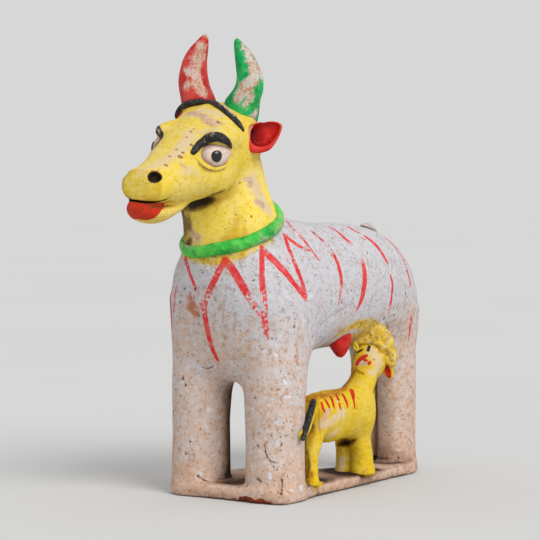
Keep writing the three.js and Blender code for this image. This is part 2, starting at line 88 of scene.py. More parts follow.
class Noise:
    """Smooth lattice noise in -1..1."""

    def __init__(self, seed):
        self.t = np.random.default_rng(seed).uniform(-1, 1, (32, 32, 32)).astype(F)

    def __call__(self, P, wave, shift=0.0):
        q = P / F(wave) + F(shift + 40.37)
        i = np.floor(q).astype(np.int32)
        f = (q - i).astype(F)
        f = f * f * (3 - 2 * f)
        i &= 31
        j = (i + 1) & 31
        t = self.t
        x0, y0, z0, x1, y1, z1 = i[:, 0], i[:, 1], i[:, 2], j[:, 0], j[:, 1], j[:, 2]
        fx, fy, fz = f[:, 0], f[:, 1], f[:, 2]
        a = t[x0, y0, z0] * (1 - fx) + t[x1, y0, z0] * fx
        b = t[x0, y1, z0] * (1 - fx) + t[x1, y1, z0] * fx
        c = t[x0, y0, z1] * (1 - fx) + t[x1, y0, z1] * fx
        d = t[x0, y1, z1] * (1 - fx) + t[x1, y1, z1] * fx
        return (a * (1 - fy) + b * fy) * (1 - fz) + (c * (1 - fy) + d * fy) * fz


NA, NB, NC = Noise(11), Noise(23), Noise(37)


def spline(rows, m=24):
    """Smooth run through rows of numbers."""
    R = np.asarray(rows, float)
    E = np.vstack([2 * R[0] - R[1], R, 2 * R[-1] - R[-2]])
    u = np.linspace(0, 1, m, endpoint=False)[:, None]
    out = []
    for i in range(len(R) - 1):
        p0, p1, p2, p3 = E[i:i + 4]
        m1, m2 = (p2 - p0) / 2, (p3 - p1) / 2
        out.append((2 * u**3 - 3 * u**2 + 1) * p1 + (u**3 - 2 * u**2 + u) * m1
                   + (-2 * u**3 + 3 * u**2) * p2 + (u**3 - u**2) * m2)
    out.append(R[-1:])
    return np.vstack(out)


class Loft:
    """A lump along Y or Z through sections [along, c1, c2, half1, half2]."""

    def __init__(self, rows, axis, power=2.0, taper=0.0, flat=0.0):
        D = spline(rows)
        if D[0, 0] > D[-1, 0]:
            D = D[::-1]
        self.lo, self.hi = D[0, 0], D[-1, 0]
        s = np.linspace(self.lo, self.hi, 700)
        tab = np.stack([np.interp(s, D[:, 0], D[:, c]) for c in range(1, 5)], 1)
        tab[:, 2:] = np.maximum(tab[:, 2:], 0.05)
        slope = np.clip(np.gradient(tab[:, 2:], s, axis=0), -5, 5)
        self.tab = np.hstack([tab, slope]).astype(F)
        self.ax, self.u, self.v = (1, 0, 2) if axis == "y" else (2, 0, 1)
        self.power, self.taper, self.flat = power, taper, flat

    def __call__(self, P):
        a = P[:, self.ax]
        k = np.clip((a - self.lo) * (699 / (self.hi - self.lo)), 0, 698.99)
        i = k.astype(np.int32)
        w = (k - i).astype(F)[:, None]
        T = self.tab[i] * (1 - w) + self.tab[i + 1] * w
        du, dv = P[:, self.u] - T[:, 0], P[:, self.v] - T[:, 1]
        u, v = np.abs(du / T[:, 2]), dv / T[:, 3]
        if self.taper:
            u = u / (1 - F(self.taper) * np.clip(v, 0, 1))
        v = np.abs(v)
        n = self.power
        q = np.sqrt(u * u + v * v) if n == 2 else (u**F(n) + v**F(n))**F(1 / n)
        r = np.sqrt(du * du + dv * dv)
        slope = (u * T[:, 4] + v * T[:, 5]) / (u + v + F(1e-6))
        small = np.minimum(T[:, 2], T[:, 3])
        f = np.where(q > 1e-3, r - r / np.maximum(q, F(1e-3)), -small) / np.sqrt(1 + slope * slope)
        out = np.maximum(np.maximum(self.lo - a, a - self.hi), 0).astype(F)
        if self.flat:
            mid, half = (self.lo + self.hi) / 2, (self.hi - self.lo) / 2
            return smax(f, (np.abs(a - F(mid)) - F(half)).astype(F), self.flat)
        return np.where(out > 0, np.sqrt(np.maximum(f, 0)**2 + out * out), f).astype(F)


def ball(P, c, r):
    q = (P - np.asarray(c, F)) / np.asarray(r, F)
    k0 = np.linalg.norm(q, axis=1)
    k1 = np.linalg.norm(q / np.asarray(r, F), axis=1)
    return (k0 * (k0 - 1) / np.maximum(k1, F(1e-6))).astype(F)


def chain(P, pts, rad):
    """Distance to a coil through pts with radii rad."""
    pts, rad = np.asarray(pts, F), np.asarray(rad, F)
    best = np.full(len(P), 1e9, F)
    for a, b, ra, rb in zip(pts[:-1], pts[1:], rad[:-1], rad[1:]):
        ba = b - a
        h = np.clip((P - a) @ ba / (ba @ ba), 0, 1)
        d = np.linalg.norm(P - a - h[:, None] * ba, axis=1) - (ra + (rb - ra) * h)
        best = np.minimum(best, d)
    return best


def outline_field(poly, pitch=1.0, pad=30.0):
    """Signed distance to a closed outline in X and Y, as a table to read from."""
    poly = np.asarray(poly, float)
    lo = poly.min(0) - pad
    n = np.ceil((poly.max(0) + pad - lo) / pitch).astype(int) + 1
    X, Y = np.meshgrid(lo[0] + pitch * np.arange(n[0]), lo[1] + pitch * np.arange(n[1]), indexing="ij")
    d = np.full(X.shape, 1e9)
    inside = np.zeros(X.shape, bool)
    for (ax, ay), (bx, by) in zip(poly, np.roll(poly, -1, 0)):
        ex, ey = bx - ax, by - ay
        h = np.clip(((X - ax) * ex + (Y - ay) * ey) / (ex * ex + ey * ey), 0, 1)
        d = np.minimum(d, np.hypot(X - ax - h * ex, Y - ay - h * ey))
        cross = (ay > Y) != (by > Y)
        with np.errstate(divide="ignore", invalid="ignore"):
            inside ^= cross & (X < (bx - ax) * (Y - ay) / (by - ay) + ax)
    d = np.where(inside, -d, d).astype(F)

    def read(P):
        q = (P[:, :2] - lo.astype(F)) / F(pitch)
        q = np.clip(q, 0, np.array(d.shape) - 1.001)
        i = q.astype(np.int32)
        w = (q - i).astype(F)
        i0, i1 = i[:, 0], i[:, 1]
        return ((d[i0, i1] * (1 - w[:, 0]) + d[i0 + 1, i1] * w[:, 0]) * (1 - w[:, 1])
                + (d[i0, i1 + 1] * (1 - w[:, 0]) + d[i0 + 1, i1 + 1] * w[:, 0]) * w[:, 1])
    return read


def bez(p0, p1, p2, p3, n=14):
    t = np.linspace(0, 1, n, endpoint=False)[:, None]
    p0, p1, p2, p3 = map(np.asarray, (p0, p1, p2, p3))
    return (1 - t)**3 * p0 + 3 * (1 - t)**2 * t * p1 + 3 * (1 - t) * t**2 * p2 + t**3 * p3


# ---- base, trunk, legs --------------------------------------------------------------

BASE_T = 9.0
BASE_LINE = np.vstack([
    bez((44, -95.2), (48.6, -94.6), (51.2, -93.4), (50.8, -89), 6),
    [(49.8, -80), (44, -40), (38.8, 10), (35, 44)],
    bez((31.4, 76), (30, 96.5), (20.4, 107), (5.5, 107.4)),
    bez((5.5, 107.4), (-10, 107.4), (-19.4, 98.5), (-19.4, 84)),
    bez((-19.4, 84), (-19.4, 62), (4, 44), (4.6, 26)),
    bez((4.6, 26), (5, 8), (-36.5, 16), (-44.8, -10)),
    [(-45, -26), (-46, -52)],
    bez((-47, -74), (-47.2, -88), (-41, -96), (-30, -96)),
    [(-10, -95.6), (16, -96.2), (32, -96)],
])
base_plan = outline_field(BASE_LINE)

trunk_f = Loft([
    [-111, 0, 149, 0, 0], [-108, 0, 147, 15, 14], [-104, 0, 142, 26, 25], [-98, 0, 134, 36, 37],
    [-90, 0, 128, 42.5, 46.5], [-79, 0, 127, 47.2, 51.5], [-60, 0, 130.5, 48.8, 50.5],
    [-40, 0.3, 133, 48, 48], [-18, 0.6, 134.3, 46.5, 43.8], [5, 1, 134, 45, 42],
    [28, 1.6, 134, 43, 41.7], [50, 2.4, 132.6, 40, 41], [68, 3, 129.6, 35.2, 39.6],
    [84, 3.6, 125, 29.4, 36.5], [96, 4.2, 121, 22.6, 32], [102.6, 4.6, 117, 16, 25],
    [107, 4.8, 114, 9, 15], [108.8, 4.8, 112, 0, 0]], "y", power=2.35, taper=0.1)

LEG_X, LEG_Y, LEG_R = 30.3, -75.5, 19.3


def front_leg(side):
    x, y, r = side * LEG_X, LEG_Y, LEG_R
    return Loft([[2, x, y, r - 0.3, r - 0.2], [9.3, x, y, r - 0.3, r - 0.2], [16, x, y, r - 0.3, r - 0.2],
                 [40, x, y, r - 0.6, r - 0.5], [62, x, y + 0.4, r - 0.2, r + 0.4],
                 [80, x - side * 0.4, y + 1.6, r, r + 2.2], [98, x - side * 1.4, y + 4, r - 0.6, r + 4],
                 [122, x - side * 4, y + 6, r - 3, r + 4]], "z", power=2.05, flat=2.0)


front_l, front_r = front_leg(1), front_leg(-1)

HIND_X, HIND_Y = 5.2, 86.5


def hind_leg(side):
    x, y = HIND_X + side * 11.0, HIND_Y
    return Loft([[2, x, y, 11.6, 16.4], [9.3, x, y, 11.4, 16.2], [18, x, y, 11.1, 15.8], [44, x, y, 11, 15.2],
                 [70, x, y - 0.6, 11.2, 15.8], [88, x, y - 2, 11.4, 17], [112, x, y - 5, 11, 18]],
                "z", power=2.5, flat=2.0)


hind_l, hind_r = hind_leg(1), hind_leg(-1)

neck_f = Loft([[138, 0, -78.5, 30, 29], [150, 0, -79.5, 30.4, 29.6], [168, -0.6, -80.8, 31, 30.4], [180, -0.9, -81.8, 31.1, 30.4],
               [190, -1.7, -84.8, 30.7, 29.8], [201, -2.0, -88.4, 29.2, 28.6], [214, -1.4, -91.4, 27.2, 27],
               [226, 0, -94.5, 24.5, 24], [240, 0, -97, 20, 20]], "z", flat=4.0)

# ---- head ---------------------------------------------------------------------------

ROLL = math.radians(6.5)
ROLL_Z = 215.0


def unroll(P):
    x, z = P[:, 0], P[:, 2] - F(ROLL_Z)
    c, s = F(math.cos(ROLL)), F(math.sin(ROLL))
    return np.stack([x * c - z * s, P[:, 1], x * s + z * c + F(ROLL_Z)], 1).astype(F)


def reroll(p):
    x, y, z = p
    z -= ROLL_Z
    c, s = math.cos(ROLL), math.sin(ROLL)
    return np.array([x * c + z * s, y, -x * s + z * c + ROLL_Z])


skull_f = Loft([
    [-75.5, 0, 231, 0, 0], [-79, 0, 231.5, 12.5, 12.5], [-86, 0, 231, 21, 21], [-96, 0, 229.2, 26, 26.4],
    [-108, 0, 226, 27, 27], [-120, 0, 221, 26, 25.6], [-132, 0, 215.2, 23.8, 23.4], [-143, 0, 210, 20.4, 20],
    [-154, 0, 205.6, 17.4, 15.4], [-164, 0, 202.8, 16.2, 12], [-172, 0, 201.8, 15.4, 10.6],
    [-179, 0, 202, 13.6, 9.6], [-186, 0, 201.8, 0, 0]], "y", power=2.2)
nose_c, nose_r = (0, -165.5, 202.4), (15.8, 10.6, 9.8)
SNOUT = -174.0                        # the blunt front of the muzzle
jaw_f = Loft([
    [-128, 0, 196, 0, 0], [-132, 0, 195, 8, 4.2], [-140, 0, 192.2, 12, 5.8], [-149, 0, 189.2, 13.4, 6.8],
    [-158, 0, 186.8, 13.8, 7.6], [-166, 0, 186.9, 12.4, 7.3], [-172.5, 0, 187.7, 8.4, 5.4],
    [-175.8, 0, 188.4, 0, 0]], "y", power=2.1)

EYE_L, EYE_R = (21.7, -128.2, 221.4), (-19.4, -126, 226.2)


def mouth_z(y):
    """Height of the mouth's slit, before the head is tilted."""
    return np.interp(y, [-178, -172, -166, -159, -146], [192.4, 193.0, 194.8, 197.2, 199.0]).astype(F)


def head_f(P):
    Q = unroll(P)
    f = skull_f(Q)
    f = smin(f, ball(Q, nose_c, nose_r), 5)
    f = smax(f, F(SNOUT) - Q[:, 1], 7)
    f = smin(f, jaw_f(Q), 2.6)
    M = Q.copy()
    M[:, 0] = np.abs(M[:, 0])
    # cheeks, and the ridges that carry the brows
    f = smin(f, ball(M, (15.5, -121, 209.5), (11, 17, 11)), 7)
    f = smin(f, ball(M, (20.8, -120.5, 234.4), (7.2, 12.5, 6.4)), 7)
    # slit of the mouth, deepest in front
    y = Q[:, 1]
    half = np.interp(y, [-178, -170, -163, -158], [0.5, 0.45, 0.35, 0.12]).astype(F)
    slit = smax(np.abs(Q[:, 2] - mouth_z(y)) - half, y + F(157), 1.0)
    slit = np.maximum(slit, -(f + F(4.0)))
    f = smax(f, -slit, 0.9)
    return f, Q


def horn_rows(side):
    if side > 0:
        t = [(232, 14.5, 12), (240, 15.8, 12.6), (247, 17.2, 13.2), (252, 17.4, 13.6), (256.5, 18.2, 13.8), (260, 20, 13.1),
             (263.4, 22, 11.9), (267, 23.2, 10.9), (271, 23.5, 10.2), (274.8, 22.9, 9.6), (278.4, 21.9, 9),
             (282.2, 20.4, 8.2), (286.1, 18.6, 7), (290, 16.4, 5.5), (293.4, 14.5, 3.7), (295.6, 13.5, 1.9), (296.5, 13.2, 0)]
    else:
        t = [(234, -13.5, 12.5), (242, -15, 13.2), (250, -16.8, 14), (256.2, -18, 14.5), (260, -19.3, 13.9), (264, -20.6, 13.1),
             (268, -21.5, 12.3), (271.8, -21.9, 11.5), (275.7, -21.9, 10.9), (279.5, -21.4, 10.2), (283.4, -20.6, 9.4),
             (287.2, -19.3, 8.5), (291, -17.4, 7), (294.7, -15.2, 4.9), (297.2, -13.8, 3.3), (298.8, -12.9, 1.6), (299.5, -12.6, 0)]
    return [[z, x, -93.0, r * 0.82, r * 0.80] for z, x, r in t]


horn_l_f, horn_r_f = Loft(horn_rows(1), "z"), Loft(horn_rows(-1), "z")

# ears: a leaf hollowed out from the front, [across, up] in the plane it lies in
EAR_LINE = spline(np.array([(-7.5, 6.6), (-1.7, 9.2), (5, 9.6), (10, 9.0), (12.9, 6.9), (12.2, 2.5), (9.2, -3.4), (5.8, -8), (1.6, -10.2),
                            (-3.3, -11), (-7.9, -9.6), (-10.5, -6.3), (-11.2, -1.7), (-10.5, 2.9), (-7.5, 6.6)]), 4)[:-1]
ear_plan = outline_field(EAR_LINE, 0.5, 14.0)
EAR_W = TOWARD * 0.985 + np.array([0, 0, 0.1]) + ASIDE * 0.14
EAR_W /= np.linalg.norm(EAR_W)
EAR_U = ASIDE - (ASIDE @ EAR_W) * EAR_W
EAR_U /= np.linalg.norm(EAR_U)
EAR_R = np.stack([EAR_U, np.cross(EAR_W, EAR_U), EAR_W]).astype(F)
_d = sight([(262, 136)])[0]
EAR_C = CAM_POS + _d * ((np.array([33.0, -92.5, 231.5]) - CAM_POS) @ _d)


def mirror_head(P):
    """The other half of the head, across the plane that the tilted head is symmetrical about."""
    Q = unroll(P)
    x, z = -Q[:, 0], Q[:, 2] - F(ROLL_Z)
    c, s_ = F(math.cos(ROLL)), F(math.sin(ROLL))
    return np.stack([x * c + z * s_, Q[:, 1], -x * s_ + z * c + F(ROLL_Z)], 1).astype(F)


def ear_local(P):
    return (P - EAR_C.astype(F)) @ EAR_R.T


def ear_hull(P):
    """The ear before it is hollowed: a pillow, fuller towards the head."""
    q = ear_local(P)
    t, u, w = -ear_plan(q), q[:, 0], q[:, 2]
    deep = np.clip(F(7.4) - u * F(0.17), 4.6, 9.4).astype(F)
    f = (np.sqrt((1 - np.minimum(t / 5.4, 1))**2 + (w / deep)**2) - 1) * F(4.4)
    return smax(f.astype(F), w - F(1.6), 2.4)


def ear_f(P):
    q = ear_local(P)
    u, w = q[:, 0].copy(), q[:, 2]
    f = ear_hull(P)
    # the hollow, leaving a thick lower lip
    q[:, 0], q[:, 1] = (u - F(1.2)) / F(0.76), (q[:, 1] - F(1.5)) / F(0.76)
    t2 = -ear_plan(q) * F(0.76)
    hole = np.clip(F(5.8) - u * F(0.20), 2.7, 7.6).astype(F)
    w2 = np.minimum(w - F(0.9), 0)
    g = (np.sqrt((1 - np.minimum(t2 / 4.4, 1))**2 + (w2 / hole)**2) - 1) * F(3.2)
    return smax(f, -g.astype(F), 1.3)


EAR_V = np.cross(EAR_W, EAR_U)
EAR_SHIFT = np.array([-5.2, -3.6, 1.0], F)      # the other ear stands out further


def ear_r_f(P):
    return ear_f(mirror_head(P - EAR_SHIFT))


def stub_f(P):
    f = ball(P, EAR_C - EAR_U * 7 - EAR_W * 15 - EAR_V * 1, (7, 7, 7.5))
    f = smin(f, ball(P, EAR_C - EAR_U * 1 - EAR_W * 13.4 - EAR_V * 3, (5.8, 5.8, 6)), 5)
    return smin(f, ball(P, EAR_C - EAR_U * 10.5 - EAR_W * 6.5 - EAR_V * 9.5, (4.6, 4.6, 4.2)), 6)


def head_neck(P):
    f, Q = head_f(P)
    # a little clay smeared up round the horns' and the ears' roots
    for h in (horn_l_f, horn_r_f):
        f = smin(f, smax(h(P), Q[:, 2] - F(250.0), 4.0), 5.0)
    f = smin(f, ball(P, TEMPLE, (8.5, 11.0, 8.0)), 6.0)
    up = (P[:, 2] > 208) & (P[:, 1] > -120)
    if up.any():
        U = P[up]
        f[up] = smin(f[up], np.minimum(stub_f(U), smin(stub_f(mirror_head(U - EAR_SHIFT * F(0.55))), stub_f(mirror_head(U - EAR_SHIFT)), 6)), 4.0)
        # the ears are set into pockets in the head
        f[up] = smax(f[up], -np.minimum(ear_hull(U), ear_hull(mirror_head(U - EAR_SHIFT))), 0.6)
    f = smin(f, neck_f(P), 4.5)
    return f


TEMPLE = (-15.0, -101.5, 242.5)


def nostrils(P):
    Q = unroll(P)
    return np.minimum(ball(Q, NOSTRILS[0], (3.6, 3.3, 3.05)), ball(Q, NOSTRILS[1], (3.4, 3.2, 2.9)))


NOSTRILS = [(9.9, -168.6, 207.9), (-9.9, -168.6, 207.9)]


def wobble(P):
    """Hand-worked unevenness of the clay."""
    return F(0.75) * NA(P, 44) + F(0.42) * NB(P, 19) + F(0.2) * NC(P, 8.3)


class Scars:
    """Dents and chips in the clay [place, radius, depth], kept in a coarse grid."""

    def __init__(self):
        self.lo, self.cell, self.n = np.array([-80, -200, -12], F), 4.0, (40, 84, 80)
        self.c, self.r, self.d = [], [], []
        self.grid = np.full((5,) + self.n, -1, np.int32)
        self.flat = None

    def add(self, c, r, depth):
        k = len(self.c)
        self.c.append(np.asarray(c, F)); self.r.append(r); self.d.append(depth)
        a = np.clip(((self.c[k] - 1.7 * r - self.lo) / self.cell).astype(int), 0, np.array(self.n) - 1)
        b = np.clip(((self.c[k] + 1.7 * r - self.lo) / self.cell).astype(int), 0, np.array(self.n) - 1)
        for i in range(a[0], b[0] + 1):
            for j in range(a[1], b[1] + 1):
                for m in range(a[2], b[2] + 1):
                    for layer in range(5):
                        if self.grid[layer, i, j, m] < 0:
                            self.grid[layer, i, j, m] = k
                            break
        self.flat = (np.array(self.c, F), np.array(self.r, F), np.array(self.d, F))

    def __call__(self, P):
        out = np.zeros(len(P), F)
        if not self.c:
            return out
        c, r, d = self.flat
        i = np.clip(((P - self.lo) / F(self.cell)).astype(np.int32), 0, np.array(self.n, np.int32) - 1)
        for layer in self.grid:
            k = layer[i[:, 0], i[:, 1], i[:, 2]]
            m = k >= 0
            if not m.any():
                break
            km = k[m]
            q = ((P[m] - c[km])**2).sum(1) / (r[km] * r[km])
            out[m] += d[km] * np.exp(-2 * q)
        return out


SCARS = Scars()


def cow_core(P):
    f = trunk_f(P)
    z = P[:, 2]
    low = z < 132
    if low.any():
        L = P[low]
        g = f[low]
        g = smin(g, smin(front_l(L), front_r(L), 4), 13)
        h = smin(hind_l(L), hind_r(L), 3.2)
        g = smin(g, h, 12)
        b = L[:, 2] < 26
        if b.any():
            B = L[b]
            slab = smax(base_plan(B) + F(0.6) * NB(B, 13, 3.1) + F(0.3), np.abs(B[:, 2] - F(BASE_T / 2)) - F(BASE_T / 2 - 0.25), 3.6)
            g[b] = smin(g[b], slab, 5.0)
            g[b] = np.maximum(g[b], -B[:, 2])
        f[low] = g
    high = z > 138
    if high.any():
        H = P[high]
        f[high] = smin(f[high], head_neck(H), 5)
    return f


def cow_skin(P):
    P = np.asarray(P, F)
    f = cow_core(P)
    z = P[:, 2]
    # fine unevenness, gentler on the head and none on the underside
    amp = np.clip((z - 0.5) / 5, 0, 1) * np.where(z > 185, F(0.45), F(0.8))
    near = np.abs(f) < 9
    if near.any():
        f[near] += amp[near] * wobble(P[near])
    hd = (z > 185) & (P[:, 1] < -150) & near
    if hd.any():
        f[hd] = smax(f[hd], -nostrils(P[hd]), 0.8)
    if near.any():
        f[near] += SCARS(P[near])
    if len(MANE):
        m = ((P > MANE[:, :3].min(0) - 14) & (P < MANE[:, :3].max(0) + 14)).all(1)
        if m.any():
            q = P[m]
            g = chain(q, MANE[:, :3], MANE[:, 3])
            g = g + F(1.7) * NC(q, 5.6, 6.2) + F(1.0) * NB(q, 2.8, 2.9)
            f[m] = smin(f[m], np.maximum(g, -calf_core(q)), 5)
            near[m] = np.abs(f[m]) < 9
    d2 = ((P - SMEAR_C)**2 * SMEAR_W).sum(1)
    m = near & (d2 < 4)
    if m.any():
        q = P[m]
        f[m] -= np.exp(-d2[m] * F(1.1)) * (F(1.2) + F(1.5) * NC(q, 4.6, 6.2) + F(0.9) * NB(q, 2.4, 2.9))
    return f


MANE = np.zeros((0, 4), F)
SMEAR_C, SMEAR_W = np.array([24, 52, 96], F), np.array([1 / 18.0**2, 1 / 15.0**2, 1 / 14.0**2], F)


# ---- calf ---------------------------------------------------------------------------

CALF_X, CALF_Y, CALF_TURN = 32.6, -6.5, math.radians(3.5)


def to_calf(P):
    x, y = P[:, 0] - F(CALF_X), P[:, 1] - F(CALF_Y)
    c, s = F(math.cos(CALF_TURN)), F(math.sin(CALF_TURN))
    return np.stack([x * c + y * s, -x * s + y * c, P[:, 2]], 1).astype(F)


def from_calf(p):
    c, s = math.cos(CALF_TURN), math.sin(CALF_TURN)
    return np.array([CALF_X + p[0] * c - p[1] * s, CALF_Y + p[0] * s + p[1] * c, p[2]])


calf_body_f = Loft([
    [-41.5, 0, 53.5, 0, 0], [-39, 0, 53, 7.5, 8.6], [-32, 0, 51, 11.5, 15], [-20, 0, 49.8, 13.2, 17.2],
    [-6, 0, 50, 13.2, 16.8], [8, 0, 50, 13.2, 17], [19, -0.4, 50, 13.2, 18], [28, -0.8, 49.5, 11.2, 15.6],
    [33.6, -1, 48.5, 6.6, 9], [36, -1, 48, 0, 0]], "y")
calf_neck_f = Loft([[46, 0, 17.8, 11, 12.6], [54, 0, 19.4, 10.8, 12.6], [62, 0.2, 23.4, 10.3, 12.0], [70, 0.4, 28.4, 9.6, 10.6],
                    [77, 0.8, 33, 9, 9.4], [86, 1.2, 37.6, 8.2, 8.4]], "z", flat=3.0)


def calf_leg(rows):
    return Loft(rows, "z", flat=1.5)


calf_legs = {
    "calf_front_right_leg": calf_leg([[2, 4.0, 23.6, 8.2, 8.4], [9.4, 4.0, 23.4, 8.2, 8.4], [16, 3.8, 22.8, 7.4, 7.4], [30, 3.2, 21.4, 7.2, 7.4], [42, 3, 20.6, 7.2, 8.2], [54, 3, 20, 7, 8.2]]),
    "calf_front_left_leg": calf_leg([[2, -9.6, 23.5, 7.4, 7.4], [9.4, -9.6, 23.5, 7.4, 7.4], [16, -9.4, 23.5, 6.9, 6.9], [30, -8.8, 22.5, 6.9, 7.2], [42, -8.4, 21.5, 6.8, 7.4], [54, -8, 20.5, 6, 7.4]]),
    "calf_hind_right_leg": calf_leg([[2, 7, -46, 5.5, 5.6], [9.4, 7, -46, 5.4, 5.5], [16, 6.8, -46, 4.4, 4.5], [28, 6, -44, 4.5, 4.9], [40, 5, -38.6, 5.8, 6.8], [54, 4.8, -32, 6, 8]]),
    "calf_hind_left_leg": calf_leg([[2, -7, -37, 6, 6.2], [9.4, -7, -37, 6, 6.2], [16, -7, -37, 5.2, 5.4], [28, -6.6, -35.5, 5.4, 6], [40, -5.6, -33, 6, 7.4], [54, -4.8, -29, 6, 8]]),
}
CALF_HEAD = from_calf((2.2, 41.5, 85.0)) - 3.4 * ASIDE + np.array([0, 0, -2.4])
CALF_NOSE = CALF_HEAD + 8.2 * TOWARD - 4.4 * ASIDE + np.array([0, 0, -3.6])


HAUNCH = np.zeros((0, 4), F)


def calf_core(P):
    Q = to_calf(P)
    f = calf_body_f(Q)
    if len(HAUNCH):
        f = smin(f, chain(P, HAUNCH[:, :3], HAUNCH[:, 3]), 4)
    f = smin(f, calf_neck_f(Q), 6)
    R = np.stack([ASIDE, TOWARD, [0, 0, 1]]).astype(F)
    H = (P - CALF_HEAD.astype(F)) @ R.T
    N = (P - CALF_NOSE.astype(F)) @ R.T
    h = ball(H, (0, 0, 0), (11.2, 11.2, 13.4))
    h = smin(h, ball(N, (0, 0, 0), (7.0, 5.4, 6.2)), 4)
    f = smin(f, h, 4.5)
    legs = None
    for name, leg in calf_legs.items():
        g = leg(Q)
        legs = g if legs is None else smin(legs, g, 3.5)
    f = smin(f, legs, 6)
    return f


def calf_skin(P):
    P = np.asarray(P, F)
    f = calf_core(P)
    near = np.abs(f) < 6
    if near.any():
        q = P[near]
        f[near] += F(0.5) * NB(q, 13, 5.2) + F(0.34) * NC(q, 5.6, 1.7) + F(0.14) * NB(q, 2.8, 0.9)
    return np.maximum(f, F(BASE_T - 1.2) - P[:, 2])


# =====================================================================================
# from fields to meshes
# =====================================================================================

def gradient(sdf, P, h=0.35):
    g = np.zeros_like(P)
    for k in ((1, -1, -1), (-1, -1, 1), (-1, 1, -1), (1, 1, 1)):
        e = np.array(k, F)
        g += sdf(P + e * F(h))[:, None] * e
    return g / F(4 * h)


def in_parts(sdf, P, step=600_000):
    return np.concatenate([sdf(P[i:i + step]) for i in range(0, len(P), step)]) if len(P) else np.zeros(0, F)


def polygonise(sdf, lo, hi, vox, reach=1.4):
    """Closed quad skin of a field: cells that the surface crosses get one vertex each."""
    lo, hi = np.asarray(lo, float), np.asarray(hi, float)
    B = 8
    nb = np.ceil((hi - lo) / (vox * B)).astype(int)
    n = nb * B
    ax = [lo[i] + vox * (B * np.arange(nb[i]) + (B - 1) / 2) for i in range(3)]
    C = np.stack(np.meshgrid(*ax, indexing="ij"), -1).reshape(-1, 3).astype(F)
    fc = in_parts(sdf, C)
    keep = np.abs(fc) < B * vox * 0.87 * reach
    G = np.where(fc < 0, F(-99), F(99)).reshape(nb)
    G = np.repeat(np.repeat(np.repeat(G, B, 0), B, 1), B, 2)
    ids = np.argwhere(keep.reshape(nb))
    off = np.stack(np.meshgrid(*[np.arange(B)] * 3, indexing="ij"), -1).reshape(-1, 3)
    for i in range(0, len(ids), 1000):
        cells = (ids[i:i + 1000, None, :] * B + off[None]).reshape(-1, 3)
        G[cells[:, 0], cells[:, 1], cells[:, 2]] = sdf((lo + vox * cells).astype(F))
    G[0], G[-1], G[:, 0], G[:, -1], G[:, :, 0], G[:, :, -1] = 99, 99, 99, 99, 99, 99
    S = G < 0
    cnt = np.zeros(n - 1, np.int8)
    corners = [(i, j, k) for i in (0, 1) for j in (0, 1) for k in (0, 1)]
    for i, j, k in corners:
        cnt += S[i:n[0] - 1 + i, j:n[1] - 1 + j, k:n[2] - 1 + k]
    act = (cnt > 0) & (cnt < 8)
    cell = np.argwhere(act)
    index = np.full(act.shape, -1, np.int32)
    index[act] = np.arange(len(cell))
    val = np.stack([G[cell[:, 0] + i, cell[:, 1] + j, cell[:, 2] + k] for i, j, k in corners], 1)
    val = np.clip(val, -3 * vox, 3 * vox)
    acc = np.zeros((len(cell), 3))
    num = np.zeros(len(cell))
    C8 = np.array(corners, float)
    for a in range(8):
        for b in range(a + 1, 8):
            if np.abs(C8[a] - C8[b]).sum() != 1:
                continue
            m = (val[:, a] < 0) != (val[:, b] < 0)
            t = val[m, a] / (val[m, a] - val[m, b])
            acc[m] += C8[a] + t[:, None] * (C8[b] - C8[a])
            num[m] += 1
    V = (lo + vox * (cell + acc / num[:, None])).astype(F)
    quads = []
    for axis in range(3):
        sl0, sl1 = [slice(1, -1)] * 3, [slice(1, -1)] * 3
        sl0[axis], sl1[axis] = slice(0, -1), slice(1, None)
        A, Bv = S[tuple(sl0)], S[tuple(sl1)]
        e = np.argwhere(A != Bv)
        ins = A[tuple(e.T)]
        e = e + np.array([0 if i == axis else 1 for i in range(3)])
        o1, o2 = [i for i in range(3) if i != axis]
        ring = []
        for d1, d2 in ((-1, -1), (0, -1), (0, 0), (-1, 0)):
            c = e.copy()
            c[:, o1] += d1
            c[:, o2] += d2
            ring.append(index[c[:, 0], c[:, 1], c[:, 2]])
        q = np.stack(ring, 1)
        flip = ins if axis == 1 else ~ins
        q[flip] = q[flip][:, ::-1]
        quads.append(q)
    Q = np.vstack(quads)
    Q = Q[(Q >= 0).all(1)]
    # draw the vertices onto the surface itself
    for _ in range(2):
        f, g = in_parts(sdf, V), np.concatenate([gradient(sdf, V[i:i + 300_000]) for i in range(0, len(V), 300_000)])
        step = f / np.maximum((g * g).sum(1), F(0.15))
        V -= np.clip(step, -0.45 * vox, 0.45 * vox)[:, None] * g
    return V, Q


def normals_at(sdf, V, h=0.5):
    g = np.concatenate([gradient(sdf, V[i:i + 300_000], h) for i in range(0, len(V), 300_000)])
    return g / np.maximum(np.linalg.norm(g, axis=1, keepdims=True), 1e-9)


def hollowness(sdf, V, N):
    """0 on open convex clay, towards 1 in creases, corners and under overhangs."""
    out = np.zeros(len(V), F)
    for h, w in ((2.5, 0.3), (7.0, 0.35), (16.0, 0.35)):
        f = in_parts(sdf, (V + N * F(h)).astype(F))
        out += F(w) * np.clip(1 - f / F(h), 0, 1)
    return out


def to_mesh(name, V, faces):
    me = bpy.data.meshes.new(name)
    me.from_pydata((np.asarray(V, float) * 0.001).tolist(), [], faces if isinstance(faces, list) else faces.tolist())
    me.update()
    return me


